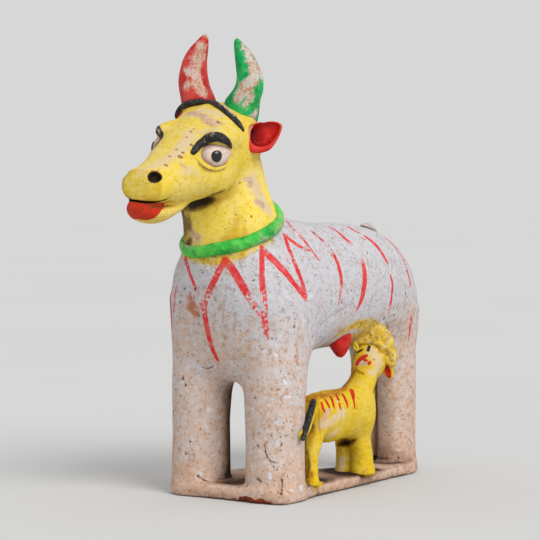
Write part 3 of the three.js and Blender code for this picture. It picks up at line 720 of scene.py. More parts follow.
def cut_skin(V, Q, planes, label):
    """Cuts a closed skin along planes [(point, normal, where)] and returns closed pieces by label."""
    V = [np.asarray(V, float)]
    count = len(V[0])
    faces = np.asarray(Q)
    for point, normal, where in planes:
        P = np.vstack(V)
        n = np.asarray(normal, float)
        n = n / np.linalg.norm(n)
        d = (P - np.asarray(point, float)) @ n
        d[np.abs(d) < 2e-3] = 0.0
        fd = d[faces]
        hit = (fd.min(1) < 0) & (fd.max(1) > 0) & where(P[faces].mean(1))
        made, new, fresh = {}, [], []
        for f in faces[hit].tolist():
            ring = [v for k, v in enumerate(f) if k == 0 or v != f[k - 1]]
            a_side, b_side = [], []
            for k, v in enumerate(ring):
                w = ring[(k + 1) % len(ring)]
                if d[v] <= 0:
                    a_side.append(v)
                if d[v] >= 0:
                    b_side.append(v)
                if d[v] * d[w] < 0:
                    key = (min(v, w), max(v, w))
                    if key not in made:
                        made[key] = count + len(fresh)
                        lo_, hi_ = key
                        fresh.append(P[lo_] + (P[hi_] - P[lo_]) * (d[lo_] / (d[lo_] - d[hi_])))
                    a_side.append(made[key])
                    b_side.append(made[key])
            new += [a_side, b_side]
        if fresh:
            V.append(np.array(fresh))
            count += len(fresh)
        new = [f for f in new if len(f) >= 3]
        width = max([faces.shape[1]] + [len(f) for f in new])
        rows = [faces[~hit]] + ([np.array([f + [f[-1]] * (width - len(f)) for f in new])] if new else [])
        rows = [np.hstack([r, np.repeat(r[:, -1:], width - r.shape[1], 1)]) if r.shape[1] < width else r for r in rows]
        faces = np.vstack(rows)
    P = np.vstack(V)
    names = label(P[faces].mean(1))
    pieces = {}
    for k in sorted(set(names.tolist()) - {""}):
        fs = faces[names == k]
        used = np.unique(fs)
        new = np.full(len(P), -1)
        new[used] = np.arange(len(used))
        rings = []
        for f in new[fs].tolist():
            rings.append([v for i, v in enumerate(f) if i == 0 or v != f[i - 1]])
        pieces[k] = (P[used], [r for r in rings if len(set(r)) == len(r) >= 3])
    return pieces


OBJECTS = {}


def add_piece(name, V, faces, mat, sdf=None, attrs=None, nodes=None, close=True, smooth_h=0.5):
    """Makes one closed visual piece, rides it on the root body and lets it stand for its node."""
    me = to_mesh(name, V, faces)
    bm = bmesh.new()
    bm.from_mesh(me)
    bm.faces.ensure_lookup_table()
    skin = len(bm.faces)
    if close:
        rim = [e for e in bm.edges if len(e.link_faces) == 1]
        if rim:
            made = bmesh.ops.holes_fill(bm, edges=rim, sides=0)["faces"]
            bmesh.ops.triangulate(bm, faces=made)
            left = [e for e in bm.edges if len(e.link_faces) == 1]
            if left:
                print("OPEN", name, len(left))
    # drop anything but the largest lump
    seen, best = set(), []
    bm.verts.ensure_lookup_table()
    for v in bm.verts:
        if v in seen:
            continue
        lump, todo = [], [v]
        seen.add(v)
        while todo:
            a = todo.pop()
            lump.append(a)
            for e in a.link_edges:
                b = e.other_vert(a)
                if b not in seen:
                    seen.add(b)
                    todo.append(b)
        if len(lump) > len(best):
            best, old = lump, best
            if old:
                bmesh.ops.delete(bm, geom=old, context="VERTS")
        elif lump is not best:
            bmesh.ops.delete(bm, geom=lump, context="VERTS")
    bmesh.ops.recalc_face_normals(bm, faces=bm.faces)
    bm.to_mesh(me)
    bm.free()
    n = len(me.vertices)
    co = np.empty(n * 3, np.float32)
    me.vertices.foreach_get("co", co)
    P = (co.reshape(-1, 3) * 1000).astype(F)
    me.polygons.foreach_set("use_smooth", np.ones(len(me.polygons), bool))
    N = None
    if sdf is not None:
        N = normals_at(sdf, P, smooth_h)
        fn = np.empty(len(me.polygons) * 3, np.float32)
        me.polygons.foreach_get("normal", fn)
        fn = fn.reshape(-1, 3)
        loops = np.empty(len(me.loops), np.int32)
        me.loops.foreach_get("vertex_index", loops)
        tot = np.empty(len(me.polygons), np.int32)
        me.polygons.foreach_get("loop_total", tot)
        face_of = np.repeat(np.arange(len(tot)), tot)
        LN = N[loops]
        flat = (LN * fn[face_of]).sum(1) < 0.35          # the cut faces keep their own flat normals
        LN[flat] = fn[face_of][flat]
        me.normals_split_custom_set(LN.tolist())
    for key, make in (attrs or {}).items():
        val = make(P, N) if callable(make) else make
        a = me.attributes.new(key, "FLOAT", "POINT")
        a.data.foreach_set("value", np.ascontiguousarray(val, np.float32))
    ob = bpy.data.objects.new(name, me)
    bpy.context.scene.collection.objects.link(ob)
    me.materials.append(mat)
    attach(ob, "root")
    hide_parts(*(nodes or [name.replace("_v", "") if name.endswith("_v") else name]))
    OBJECTS[name] = ob
    return ob


# =====================================================================================
# paint: strokes and patches are kept as distances on the clay
# =====================================================================================

def strike(px, sdf):
    """Where the sight lines through the frame positions meet the clay."""
    d = sight(px)
    t = np.full(len(d), 1330.0)
    P = None
    for _ in range(80):
        P = (CAM_POS + d * t[:, None]).astype(F)
        f = sdf(P)
        t = t + np.clip(f, -4, 40) * 0.65
    return (CAM_POS + d * t[:, None]).astype(F), np.abs(f) < 1.5


def dense(px, step=3.0, closed=False):
    """A smooth stroke through frame positions [x, y, half width]."""
    px = np.asarray(px, float)
    D = spline(px, 16) if len(px) > 2 else px[0] + np.linspace(0, 1, 24)[:, None] * (px[1] - px[0])
    L = np.concatenate([[0], np.cumsum(np.hypot(*np.diff(D[:, :2], axis=0).T))])
    s = np.linspace(0, L[-1], max(3, int(L[-1] / step) + 1))
    return np.stack([np.interp(s, L, D[:, c]) for c in range(D.shape[1])], 1)


class Paint:
    """Brush strokes lying on a skin. Reads as millimetres outside (+) or inside (-) the stroke."""

    def __init__(self):
        self.a, self.b, self.ra, self.rb = [], [], [], []

    def strokes(self, runs, sdf, mirror=None, jitter=0):
        """Strokes through frame positions; mirror repeats those runs on the far side as well."""
        D = [dense(px) for px in runs]
        P, ok = strike(np.vstack(D)[:, :2], sdf)
        r = np.vstack(D)[:, 2] / PX
        ends = np.cumsum([len(d) for d in D])
        lots = [(P, range(len(runs)))]
        if mirror is not None:
            M = P * np.array([-1, 1, 1], F)
            rg = np.random.default_rng(jitter)
            for k, e in enumerate(ends):
                M[e - len(D[k]):e] += rg.normal(0, 1.8, 3).astype(F)
            lots.append((settle(M, sdf), mirror))
        for pts, which in lots:
            for k in which:
                for i in range(ends[k] - len(D[k]), ends[k] - 1):
                    if ok[i] and ok[i + 1] and np.linalg.norm(pts[i + 1] - pts[i]) < 30:
                        self.a.append(pts[i]); self.b.append(pts[i + 1]); self.ra.append(r[i]); self.rb.append(r[i + 1])

    def stroke(self, px, sdf):
        self.strokes([px], sdf)

    def points(self, pts, sdf=None):
        """A stroke through places [x, y, z, half width] in millimetres."""
        D = spline(np.asarray(pts, float), 10)
        P, r = D[:, :3].astype(F), D[:, 3]
        if sdf is not None:
            P = settle(P, sdf)
        for i in range(len(P) - 1):
            self.a.append(P[i]); self.b.append(P[i + 1]); self.ra.append(r[i]); self.rb.append(r[i + 1])

    def dab(self, px, r, sdf, mirror=False):
        P, ok = strike([px], sdf)
        if ok[0]:
            p = P[0] * (np.array([-1, 1, 1], F) if mirror else 1)
            self.a.append(p); self.b.append(p + F(0.01)); self.ra.append(r / PX); self.rb.append(r / PX)

    def __call__(self, P, N=None):
        best = np.full(len(P), 60.0, F)
        for a, b, ra, rb in zip(self.a, self.b, self.ra, self.rb):
            lo, hi = np.minimum(a, b) - 16, np.maximum(a, b) + 16
            m = ((P > lo) & (P < hi)).all(1)
            if not m.any():
                continue
            q = P[m]
            ba = b - a
            h = np.clip((q - a) @ ba / max(float(ba @ ba), 1e-9), 0, 1)
            d = np.linalg.norm(q - a - h[:, None] * ba, axis=1) - (ra + (rb - ra) * h)
            best[m] = np.minimum(best[m], d)
        return best


def settle(P, sdf, steps=12):
    """Draws points onto the nearest clay."""
    P = np.asarray(P, F).copy()
    for _ in range(steps):
        f, g = sdf(P), gradient(sdf, P)
        P -= (f / np.maximum((g * g).sum(1), F(0.25)) * F(0.8))[:, None] * g
    return P


# =====================================================================================
# node materials
# =====================================================================================

def lin(r, g, b):
    return tuple((c / 255) / 12.92 if c / 255 <= 0.04045 else ((c / 255 + 0.055) / 1.055)**2.4 for c in (r, g, b)) + (1.0,)


class Mat:
    def __init__(self, name):
        self.mat = bpy.data.materials.new(name)
        self.mat.use_nodes = True
        self.t = self.mat.node_tree
        self.t.nodes.clear()
        self.out = self.t.nodes.new("ShaderNodeOutputMaterial")
        self.bsdf = self.t.nodes.new("ShaderNodeBsdfPrincipled")
        self.t.links.new(self.bsdf.outputs[0], self.out.inputs[0])
        self.co = self.t.nodes.new("ShaderNodeTexCoord").outputs["Object"]
        self.seed = 0.0

    def put(self, socket, value):
        if hasattr(value, "is_output") or isinstance(value, bpy.types.NodeSocket):
            self.t.links.new(value, socket)
        else:
            socket.default_value = value

    def noise(self, size_mm, detail=4.0, rough=0.55, shift=None, warp=0.0, stretch=None):
        self.seed += 3.17
        m = self.t.nodes.new("ShaderNodeMapping")
        m.inputs["Location"].default_value = (self.seed, -self.seed * 0.7, self.seed * 1.3)
        if stretch:
            m.inputs["Scale"].default_value = stretch
        self.t.links.new(self.co, m.inputs["Vector"])
        n = self.t.nodes.new("ShaderNodeTexNoise")
        n.inputs["Scale"].default_value = 1000.0 / size_mm
        n.inputs["Detail"].default_value = detail
        n.inputs["Roughness"].default_value = rough
        n.inputs["Distortion"].default_value = warp
        self.t.links.new(m.outputs[0], n.inputs["Vector"])
        return n.outputs["Fac"]

    def cells(self, size_mm, rand=1.0):
        """Distance to scattered points, and a random number for each."""
        self.seed += 2.31
        m = self.t.nodes.new("ShaderNodeMapping")
        m.inputs["Location"].default_value = (self.seed, self.seed * 0.9, -self.seed)
        self.t.links.new(self.co, m.inputs["Vector"])
        v = self.t.nodes.new("ShaderNodeTexVoronoi")
        v.inputs["Scale"].default_value = 1000.0 / size_mm
        v.inputs["Randomness"].default_value = rand
        self.t.links.new(m.outputs[0], v.inputs["Vector"])
        sep = self.t.nodes.new("ShaderNodeSeparateColor")
        self.t.links.new(v.outputs["Color"], sep.inputs[0])
        return v.outputs["Distance"], sep.outputs[0]

    def attr(self, name):
        a = self.t.nodes.new("ShaderNodeAttribute")
        a.attribute_name = name
        return a.outputs["Fac"]

    def math(self, op, a, b=0.0, c=0.0, clamp=False):
        n = self.t.nodes.new("ShaderNodeMath")
        n.operation = op
        n.use_clamp = clamp
        for s, v in zip(n.inputs, (a, b, c)):
            self.put(s, v)
        return n.outputs[0]

    def add(self, a, b): return self.math("ADD", a, b)
    def sub(self, a, b): return self.math("SUBTRACT", a, b)
    def mul(self, a, b): return self.math("MULTIPLY", a, b)
    def mad(self, a, b, c): return self.math("MULTIPLY_ADD", a, b, c)

    def step(self, v, lo, hi):
        """0 below lo, 1 above hi, smooth between; lo > hi turns it round."""
        n = self.t.nodes.new("ShaderNodeMapRange")
        n.interpolation_type = "SMOOTHSTEP"
        self.put(n.inputs["Value"], v)
        a, b, x, y = (lo, hi, 0.0, 1.0) if lo < hi else (hi, lo, 1.0, 0.0)
        n.inputs["From Min"].default_value, n.inputs["From Max"].default_value = a, b
        n.inputs["To Min"].default_value, n.inputs["To Max"].default_value = x, y
        return n.outputs[0]

    def mix(self, fac, a, b):
        n = self.t.nodes.new("ShaderNodeMix")
        n.data_type = "RGBA"
        self.put(n.inputs[0], fac)
        self.put(n.inputs[6], a)
        self.put(n.inputs[7], b)
        return n.outputs[2]

    def bump(self, height, dist_mm, strength=1.0, normal=None):
        n = self.t.nodes.new("ShaderNodeBump")
        n.inputs["Distance"].default_value = dist_mm * 0.001
        n.inputs["Strength"].default_value = strength
        self.put(n.inputs["Height"], height)
        if normal is not None:
            self.put(n.inputs["Normal"], normal)
        return n.outputs[0]

    def finish(self, color, rough, normal=None, spec=0.35):
        self.put(self.bsdf.inputs["Base Color"], color)
        self.put(self.bsdf.inputs["Roughness"], rough)
        self.bsdf.inputs["Specular IOR Level"].default_value = spec
        if normal is not None:
            self.put(self.bsdf.inputs["Normal"], normal)
        return self.mat


TERRA = lin(190, 134, 104)
TERRA_DARK = lin(120, 70, 48)
BRICK = lin(146, 62, 36)
TAN = lin(206, 168, 142)
PINK = lin(208, 180, 162)
PALE = lin(204, 189, 181)
WHITE = lin(197, 196, 201)
CLEAN = lin(216, 216, 221)
# the next two colours are grime and painted shade together, brown and near black
GRIME_SHADE_BROWN = lin(104, 74, 54)
SOOT_SHADE_BLACK = lin(28, 18, 12)
RED = lin(216, 28, 29)
RED_THIN = lin(222, 96, 88)
RED_DEEP = lin(138, 8, 8)
YELLOW = lin(228, 200, 72)
YELLOW_DEEP = lin(200, 156, 25)
YELLOW_PALE = lin(229, 211, 142)
CHALK = lin(214, 192, 162)
MAUVE = lin(180, 138, 128)
RUST = lin(180, 100, 54)
GREEN = lin(2, 162, 88)
GREEN_LIGHT = lin(54, 184, 88)
GREEN_DARK = lin(4, 108, 60)
BLACK = lin(20, 19, 19)
BLACK_WORN = lin(82, 77, 72)


def clay_bump(m, grain=0.5, pit_depth=0.6, specks=0.5):
    """Grain of brushed slip, with ragged pin holes; returns the normal and the pin-hole mask."""
    fine, mid, wide = m.noise(1.3, 4, 0.7), m.noise(3.8, 4, 0.66), m.noise(12, 3, 0.55)
    h = m.add(m.mul(fine, 0.45), m.mad(mid, 0.80, m.mul(wide, 0.8)))
    where = m.step(m.noise(16, 4, 0.7), 0.60 - 0.30 * specks, 0.74 - 0.30 * specks)
    ragged = m.noise(2.3, 3, 0.62)
    hole = m.mul(m.step(ragged, 0.655, 0.70), m.mad(where, 0.75, 0.25))
    d, rnd = m.cells(8.0)
    pin = m.mul(m.step(m.add(d, m.mul(m.sub(m.noise(1.5, 3, 0.7), 0.5), 0.40)), 0.14, 0.06), m.step(rnd, 1.0 - 0.30 * specks, 1.02 - 0.30 * specks))
    mask = m.math("MAXIMUM", hole, pin)
    h = m.sub(h, m.mul(mask, pit_depth))
    return m.bump(h, 1.0, grain), mask


def slip_material():
    """White slip worn down to pinkish clay, with the red brush stripes, grime and painted shade."""
    m = Mat("clay_slip")
    big, mid, small, fine = m.noise(36, 5, 0.62), m.noise(12, 6, 0.72), m.noise(4.6, 6, 0.76), m.noise(2.0, 4, 0.7)
    slip, cav = m.attr("slip"), m.attr("cav")
    normal, pits = clay_bump(m, 0.85, 0.7, 0.62)
    cover = m.add(m.mad(big, 0.7, m.mul(mid, 0.9)), m.add(m.mad(small, 1.0, m.mul(fine, 0.5)), m.mad(slip, 1.25, -2.13)))
    white = m.step(cover, -0.06, 0.44)
    clay = m.mix(m.step(m.mad(mid, 0.45, m.mul(small, 0.55)), 0.42, 0.58), PINK, PALE)
    clay = m.mix(m.mul(m.step(m.add(slip, m.mul(m.sub(mid, 0.5), 0.5)), 0.40, 0.02), 0.8), clay, TAN)
    col = m.mix(white, clay, WHITE)
    # warm, rubbed areas where the clay shows through
    rub = m.step(m.sub(m.mad(m.noise(9, 7, 0.78), 0.75, m.mul(fine, 0.25)), m.mul(slip, 0.035)), 0.49, 0.60)
    col = m.mix(m.mul(rub, 0.40), col, TERRA)
    # mottling of the brushed slip: greyish stains and clean flecks
    grain = m.mad(fine, 0.5, m.mul(small, 0.5))
    col = m.mix(m.mul(m.step(grain, 0.49, 0.39), 0.58), col, lin(136, 112, 96))
    col = m.mix(m.mul(m.step(grain, 0.53, 0.62), 0.62), col, CLEAN)
    d, rnd = m.cells(17)
    fleck = m.mul(m.step(m.add(d, m.mul(m.sub(fine, 0.5), 0.3)), 0.15, 0.10), m.step(rnd, 0.80, 0.81))
    col = m.mix(m.mul(fleck, 0.8), col, CLEAN)
    col = m.mix(m.mul(m.step(m.add(m.attr("white"), m.mul(m.sub(fine, 0.5), 0.8)), 0.40, 0.60), 0.9), col, lin(214, 216, 224))
    # soiled base
    low = m.mul(m.step(slip, 0.16, 0.04), m.step(m.mad(mid, 0.5, m.mul(small, 0.5)), 0.53, 0.42))
    col = m.mix(m.mul(low, 0.55), col, lin(116, 82, 62))
    # broken edges of the base
    chip = m.attr("chip")
    chipped = m.step(m.add(chip, m.mul(m.noise(8, 5, 0.66), 1.6)), 1.46, 1.53)
    col = m.mix(chipped, col, m.mix(m.step(fine, 0.4, 0.62), BRICK, lin(96, 38, 22)))
    # soil in cracks and pits
    col = m.mix(m.mul(m.step(m.add(m.attr("crack"), m.mul(m.sub(m.noise(1.4, 3, 0.7), 0.5), 0.9)), 0.42, 0.62), 0.85), col, lin(92, 56, 40))
    # ochre stains
    st = m.attr("stain")
    stain = m.mul(m.step(m.add(st, m.mul(m.sub(small, 0.5), 5.0)), 1.6, -2.8), m.step(m.noise(3.2, 5, 0.7), 0.26, 0.50))
    col = m.mix(m.mul(stain, 0.85), col, RUST)
    # painted shade and grime in creases, gaps and under overhangs
    uneven = m.add(m.mul(m.sub(mid, 0.5), 0.40), m.mul(m.sub(fine, 0.5), 0.36))
    soil_shade_amount = m.add(cav, uneven)
    col = m.mix(m.mul(m.step(soil_shade_amount, 0.15, 0.50), 0.80), col, GRIME_SHADE_BROWN)
    col = m.mix(m.mul(m.step(soil_shade_amount, 0.38, 0.66), 0.94), col, SOOT_SHADE_BLACK)
    # yellow brushed past the collar and round the calf
    ye = m.attr("yel")
    yel = m.step(m.add(ye, m.add(m.mul(m.sub(mid, 0.5), 5.0), m.mul(m.sub(small, 0.5), 5.0))), 1.8, -2.0)
    yel = m.mul(yel, m.step(m.noise(2.4, 4, 0.72), 0.30, 0.50))
    col = m.mix(m.mul(yel, 0.92), col, m.mix(m.step(small, 0.40, 0.58), lin(190, 150, 20), lin(230, 198, 54)))
    # red strokes, flaked off here and there
    rd = m.attr("red")
    edge = m.step(m.add(rd, m.mul(m.sub(m.noise(2.0, 5, 0.75), 0.5), 2.6)), 0.40, -0.30)
    flake = m.step(m.add(m.noise(2.1, 5, 0.76), m.mul(m.sub(m.noise(18, 4), 0.5), 1.0)), 0.37, 0.45)
    red = m.mul(edge, flake)
    col = m.mix(m.mul(red, m.mad(m.step(m.noise(5, 3), 0.3, 0.6), 0.16, 0.80)), col, m.mix(m.step(m.noise(4, 4, 0.7), 0.46, 0.78), RED, RED_THIN))
    col = m.mix(m.mul(pits, 0.80), col, m.mix(m.step(big, 0.46, 0.62), lin(112, 70, 50), lin(58, 42, 34)))
    rough = m.mad(m.step(mid, 0.3, 0.7), 0.12, 0.78)
    return m.finish(col, rough, normal, 0.15)


def yellow_material(name="clay_yellow", main=YELLOW, pale=YELLOW_PALE, deep=YELLOW_DEEP, loose_amount=0.3, back=False):
    """Chrome yellow over a chalky ground, rubbed through, with painted features."""
    m = Mat(name)
    big, mid, small, fine = m.noise(26, 4, 0.6), m.noise(9, 6, 0.72), m.noise(3.8, 6, 0.76), m.noise(1.8, 4, 0.7)
    cav = m.attr("cav")
    normal, pits = clay_bump(m, 0.80, 0.5, 0.20)
    # painted light: the neck gets a brighter yellow than the head
    neck_lit = m.attr("neck_lit")
    col = m.mix(m.mul(m.step(m.mad(big, 0.45, m.mul(small, 0.55)), 0.43, 0.62), 0.65), m.mix(neck_lit, main, lin(247, 219, 86)), m.mix(neck_lit, pale, lin(241, 219, 138)))
    col = m.mix(m.mul(m.step(m.mad(fine, 0.45, m.mul(small, 0.55)), 0.49, 0.38), 0.55), col, deep)
    # painted shade: creases and hollows turn to the deeper yellow
    col = m.mix(m.mul(m.step(m.add(cav, m.mul(m.sub(mid, 0.5), 0.4)), 0.08, 0.34), 0.70), col, deep)
    # rubbed to the chalky ground
    worn = m.attr("worn")
    rubbed = m.step(m.add(m.add(m.mul(m.sub(mid, 0.5), 1.2), m.mul(m.sub(small, 0.5), 1.0)), worn), 0.16, 0.80)
    col = m.mix(m.mul(rubbed, 0.80), col, CHALK)
    # bruised patches, small flecks and stray rubs
    sc = m.attr("scuff")
    scuff = m.step(m.add(m.add(m.mul(m.sub(mid, 0.5), 1.8), m.mul(m.sub(small, 0.5), 1.4)), sc), 0.34, 0.62)
    col = m.mix(m.mul(scuff, 0.78), col, m.mix(m.step(small, 0.43, 0.57), MAUVE, lin(206, 176, 160)))
    spot = m.step(m.add(m.attr("fleck"), m.mul(m.sub(fine, 0.5), 1.2)), 0.42, 0.62)
    col = m.mix(m.mul(spot, 0.85), col, lin(150, 84, 70))
    loose = m.step(m.mad(m.noise(4.4, 6, 0.76), 0.7, m.mul(m.noise(28, 3), 0.3)), 0.585, 0.63)
    col = m.mix(m.mul(loose, loose_amount), col, m.mix(m.step(fine, 0.4, 0.6), MAUVE, TERRA))
    if back:
        br = m.step(m.add(m.attr("brown"), m.mul(m.sub(small, 0.5), 6.0)), 2.2, -2.2)
        col = m.mix(m.mul(br, 0.85), col, m.mix(m.step(small, 0.42, 0.58), lin(150, 84, 26), lin(190, 122, 40)))
        wh = m.step(m.add(m.attr("white"), m.mul(m.sub(fine, 0.5), 1.2)), 0.40, 0.60)
        col = m.mix(m.mul(wh, 0.8), col, lin(202, 202, 196))
    rd = m.attr("red")
    red = m.step(m.add(rd, m.mul(m.sub(fine, 0.5), 1.2)), 0.3, -0.3)
    red = m.mul(red, m.step(m.noise(1.9, 4, 0.7), 0.25, 0.34))
    col = m.mix(m.mul(red, 0.95), col, m.mix(m.step(mid, 0.38, 0.62), lin(174, 8, 11), lin(206, 24, 25)))
    # painted shade with grime: dark brown to near black in creases and on the painted shadows under the jaw, down the
    # throat and round the calf's head
    uneven = m.add(m.mul(m.sub(mid, 0.5), 0.4), m.mul(m.sub(fine, 0.5), 0.3))
    grime_shade_amount = m.add(m.add(cav, m.attr("dark_shade_soil")), uneven)
    col = m.mix(m.mul(m.step(grime_shade_amount, 0.28, 0.62), 0.84), col, lin(104, 66, 18))
    col = m.mix(m.mul(m.step(grime_shade_amount, 0.52, 0.86), 0.92), col, lin(26, 15, 6))
    bk = m.attr("blk")
    black = m.step(m.add(bk, m.mul(m.sub(fine, 0.5), 0.8)), 0.3, -0.3)
    col = m.mix(m.mul(black, 0.96), col, lin(14, 12, 12))
    col = m.mix(m.mul(pits, 0.6), col, lin(116, 78, 36))
    rough = m.mad(m.step(fine, 0.3, 0.7), 0.16, 0.52)
    return m.finish(col, rough, normal, 0.12)


def colour_material(name, base, light, deep, under, wear=0.0, rough0=0.5, patch=8.0):
    """One brushed colour that has worn through to the ground below it."""
    m = Mat(name)
    big, mid, small, fine = m.noise(patch * 2.2, 5, 0.62), m.noise(patch, 6, 0.74), m.noise(2.8, 6, 0.76), m.noise(1.5, 4, 0.66)
    normal, pits = clay_bump(m, 0.7, 0.4, 0.2)
    col = m.mix(m.step(big, 0.38, 0.62), base, light)
    col = m.mix(m.mul(m.step(mid, 0.53, 0.38), 0.6), col, deep)
    worn = m.attr("worn")
    lost = m.add(m.add(m.mul(m.sub(mid, 0.5), 1.9), m.mul(m.sub(small, 0.5), 1.7)), m.add(worn, wear))
    gone = m.step(lost, 0.42, 0.56)
    veil = m.mul(m.step(lost, 0.12, 0.42), 0.36)
    ground = m.mix(m.step(m.mad(m.noise(7, 5, 0.7), 0.6, m.mul(fine, 0.4)), 0.47, 0.55), under, m.mix(m.step(fine, 0.4, 0.6), PINK, TERRA))
    col = m.mix(m.math("MAXIMUM", m.mul(gone, 0.92), veil), col, ground)
    # painted shade: near black where the piece meets the clay it sits on
    cav = m.attr("cav")
    col = m.mix(m.mul(m.step(m.add(cav, m.mul(m.sub(small, 0.5), 0.5)), 0.35, 0.9), 0.85), col, SOOT_SHADE_BLACK)
    col = m.mix(m.mul(pits, 0.4), col, TERRA_DARK)
    rough = m.mad(gone, 0.24, rough0)
    return m.finish(col, rough, normal, 0.14)


def ear_material():
    """Red inside, a pale worn rim, yellow behind."""
    m = Mat("paint_ear")
    mid, small, fine = m.noise(6, 5, 0.66), m.noise(2.8, 5, 0.72), m.noise(1.6, 4, 0.62)
    normal, pits = clay_bump(m, 0.6, 0.3, 0.12)
    col = m.mix(m.step(mid, 0.35, 0.65), YELLOW, YELLOW_PALE)
    red = m.step(m.add(m.attr("red"), m.mul(m.sub(mid, 0.5), 1.6)), 0.5, -0.5)
    ink = m.mix(m.step(mid, 0.40, 0.62), lin(206, 34, 30), lin(218, 62, 56))
    # painted shade: the red deepens to near black down in the hollow
    cav = m.attr("cav")
    ink = m.mix(m.mul(m.step(cav, 0.16, 0.52), 0.88), ink, lin(150, 12, 10))
    ink = m.mix(m.mul(m.step(cav, 0.48, 0.88), 0.85), ink, lin(44, 4, 3))
    col = m.mix(red, col, ink)
    worn = m.step(m.add(m.attr("worn"), m.mul(m.sub(small, 0.5), 1.8)), 0.46, 0.66)
    col = m.mix(m.mul(worn, 0.72), col, lin(214, 166, 152))
    col = m.mix(m.mul(pits, 0.4), col, TERRA_DARK)
    return m.finish(col, m.mad(fine, 0.2, 0.40), normal, 0.16)


def black_material():
    m = Mat("paint_black")
    mid, small, fine = m.noise(4.5, 5, 0.68), m.noise(2.2, 5, 0.72), m.noise(1.4, 4, 0.62)
    normal, pits = clay_bump(m, 0.9, 0.4, 0.25)
    worn = m.attr("worn")
    col = m.mix(m.mul(m.step(m.mad(mid, 0.5, m.mul(small, 0.5)), 0.46, 0.64), 0.8), BLACK, BLACK_WORN)
    gone = m.step(m.add(m.add(m.mul(m.sub(mid, 0.5), 0.9), m.mul(m.sub(small, 0.5), 0.9)), worn), 0.40, 0.56)
    col = m.mix(m.mul(gone, 0.9), col, m.mix(m.step(small, 0.42, 0.58), lin(176, 132, 112), CHALK))
    return m.finish(col, m.mad(fine, 0.3, 0.30), normal, 0.30)


def eye_material():
    m = Mat("eye_white")
    mid, fine = m.noise(5, 5, 0.66), m.noise(1.6, 4, 0.64)
    normal, pits = clay_bump(m, 0.35, 0.2, 0.12)
    col = m.mix(m.step(mid, 0.38, 0.62), lin(222, 202, 186), lin(202, 174, 162))
    # painted shade: the white darkens where the eyeball meets the head
    cav = m.attr("cav")
    col = m.mix(m.mul(m.step(m.add(cav, m.mul(m.sub(mid, 0.5), 0.4)), 0.14, 0.95), 0.72), col, lin(142, 102, 84))
    col = m.mix(m.mul(m.step(fine, 0.60, 0.68), 0.45), col, RUST)
    return m.finish(col, m.mad(fine, 0.2, 0.30), normal, 0.35)


def pupil_material():
    m = Mat("eye_black")
    fine = m.noise(1.2, 3, 0.6)
    col = m.mix(m.step(fine, 0.5, 0.75), lin(12, 12, 13), lin(40, 36, 34))
    return m.finish(col, m.mad(fine, 0.16, 0.10), m.bump(fine, 0.12, 0.3), 0.6)


SLIP = slip_material()
YEL = yellow_material()
CALF = yellow_material("clay_yellow_calf", lin(222, 186, 26), lin(218, 194, 92), lin(186, 140, 10), 0.35, back=True)
EAR_M = ear_material()
RED_M = colour_material("paint_red", lin(206, 26, 26), lin(214, 54, 50), RED_DEEP, CHALK, wear=-0.25)
RED_HORN = colour_material("paint_red_horn", lin(200, 48, 44), lin(212, 84, 76), lin(170, 28, 26), lin(208, 188, 178), wear=-0.06, rough0=0.56, patch=7)
GREEN_HORN = colour_material("paint_green_horn", GREEN, GREEN_LIGHT, GREEN_DARK, lin(204, 194, 186), wear=-0.06, rough0=0.56, patch=7)
GREEN_M = colour_material("paint_green", lin(44, 182, 66), lin(98, 206, 82), lin(10, 122, 56), lin(172, 186, 160), wear=-0.06, rough0=0.5, patch=9)
BLACK_M = black_material()
EYE_M = eye_material()
PUPIL_M = pupil_material()

# =====================================================================================
# painted features, as frame positions [x, y, half width] on the side that is seen
# =====================================================================================

# the nostrils and the lumps round the calf's head lie where they are seen
_p = unroll(strike([(154.0, 176.4)], cow_core)[0])[0].astype(float)
NOSTRILS = [(_p[0], _p[1] + 0.9, _p[2] - 0.6), (-_p[0] - 3.5, _p[1] + 2.5, _p[2] - 1.5)]
HAUNCH_PX = np.array([(311, 404, 4.5), (309.6, 412, 4.3), (307.4, 420, 3.9), (304.8, 428, 3.4), (302.2, 435.5, 2.7)])
_t0 = np.linalg.norm(strike([(313.4, 401.5)], calf_core)[0][0] - CAM_POS)
_t1 = np.linalg.norm(strike([(299.5, 436)], cow_skin)[0][0] - CAM_POS)
_deep = _t0 + 4.2 + (_t1 + 0.5 - _t0 - 4.2) * np.linspace(0, 1, 5)
HAUNCH = np.hstack([CAM_POS + sight(HAUNCH_PX[:, :2]) * _deep[:, None], HAUNCH_PX[:, 2:]]).astype(F)
MANE_PX = np.array([(343, 336, 2.0), (350, 333, 3.6), (356, 330.5, 4.6), (363, 329.5, 5.2), (371, 331, 5.6), (379, 335.5, 5.8), (385, 342, 5.8), (389, 350, 5.4), (391.5, 357.5, 4.2), (392, 364, 2.6),
                    (388, 359, 3.4), (384, 353, 5.0), (380, 346, 6.0), (374, 340, 6.2), (366, 337, 6.2), (358, 337.5, 5.6), (351, 339, 4.2)])
_deep = np.linalg.norm(strike([(364, 352)], calf_core)[0][0] - CAM_POS) + np.array([9, 9, 9, 9, 9, 9, 9, 8.5, 8, 7, 8, 8.5, 8, 7.5, 7.5, 7.5, 7.5])
MANE = np.hstack([CAM_POS + sight(MANE_PX[:, :2]) * _deep[:, None], MANE_PX[:, 2:]]).astype(F)

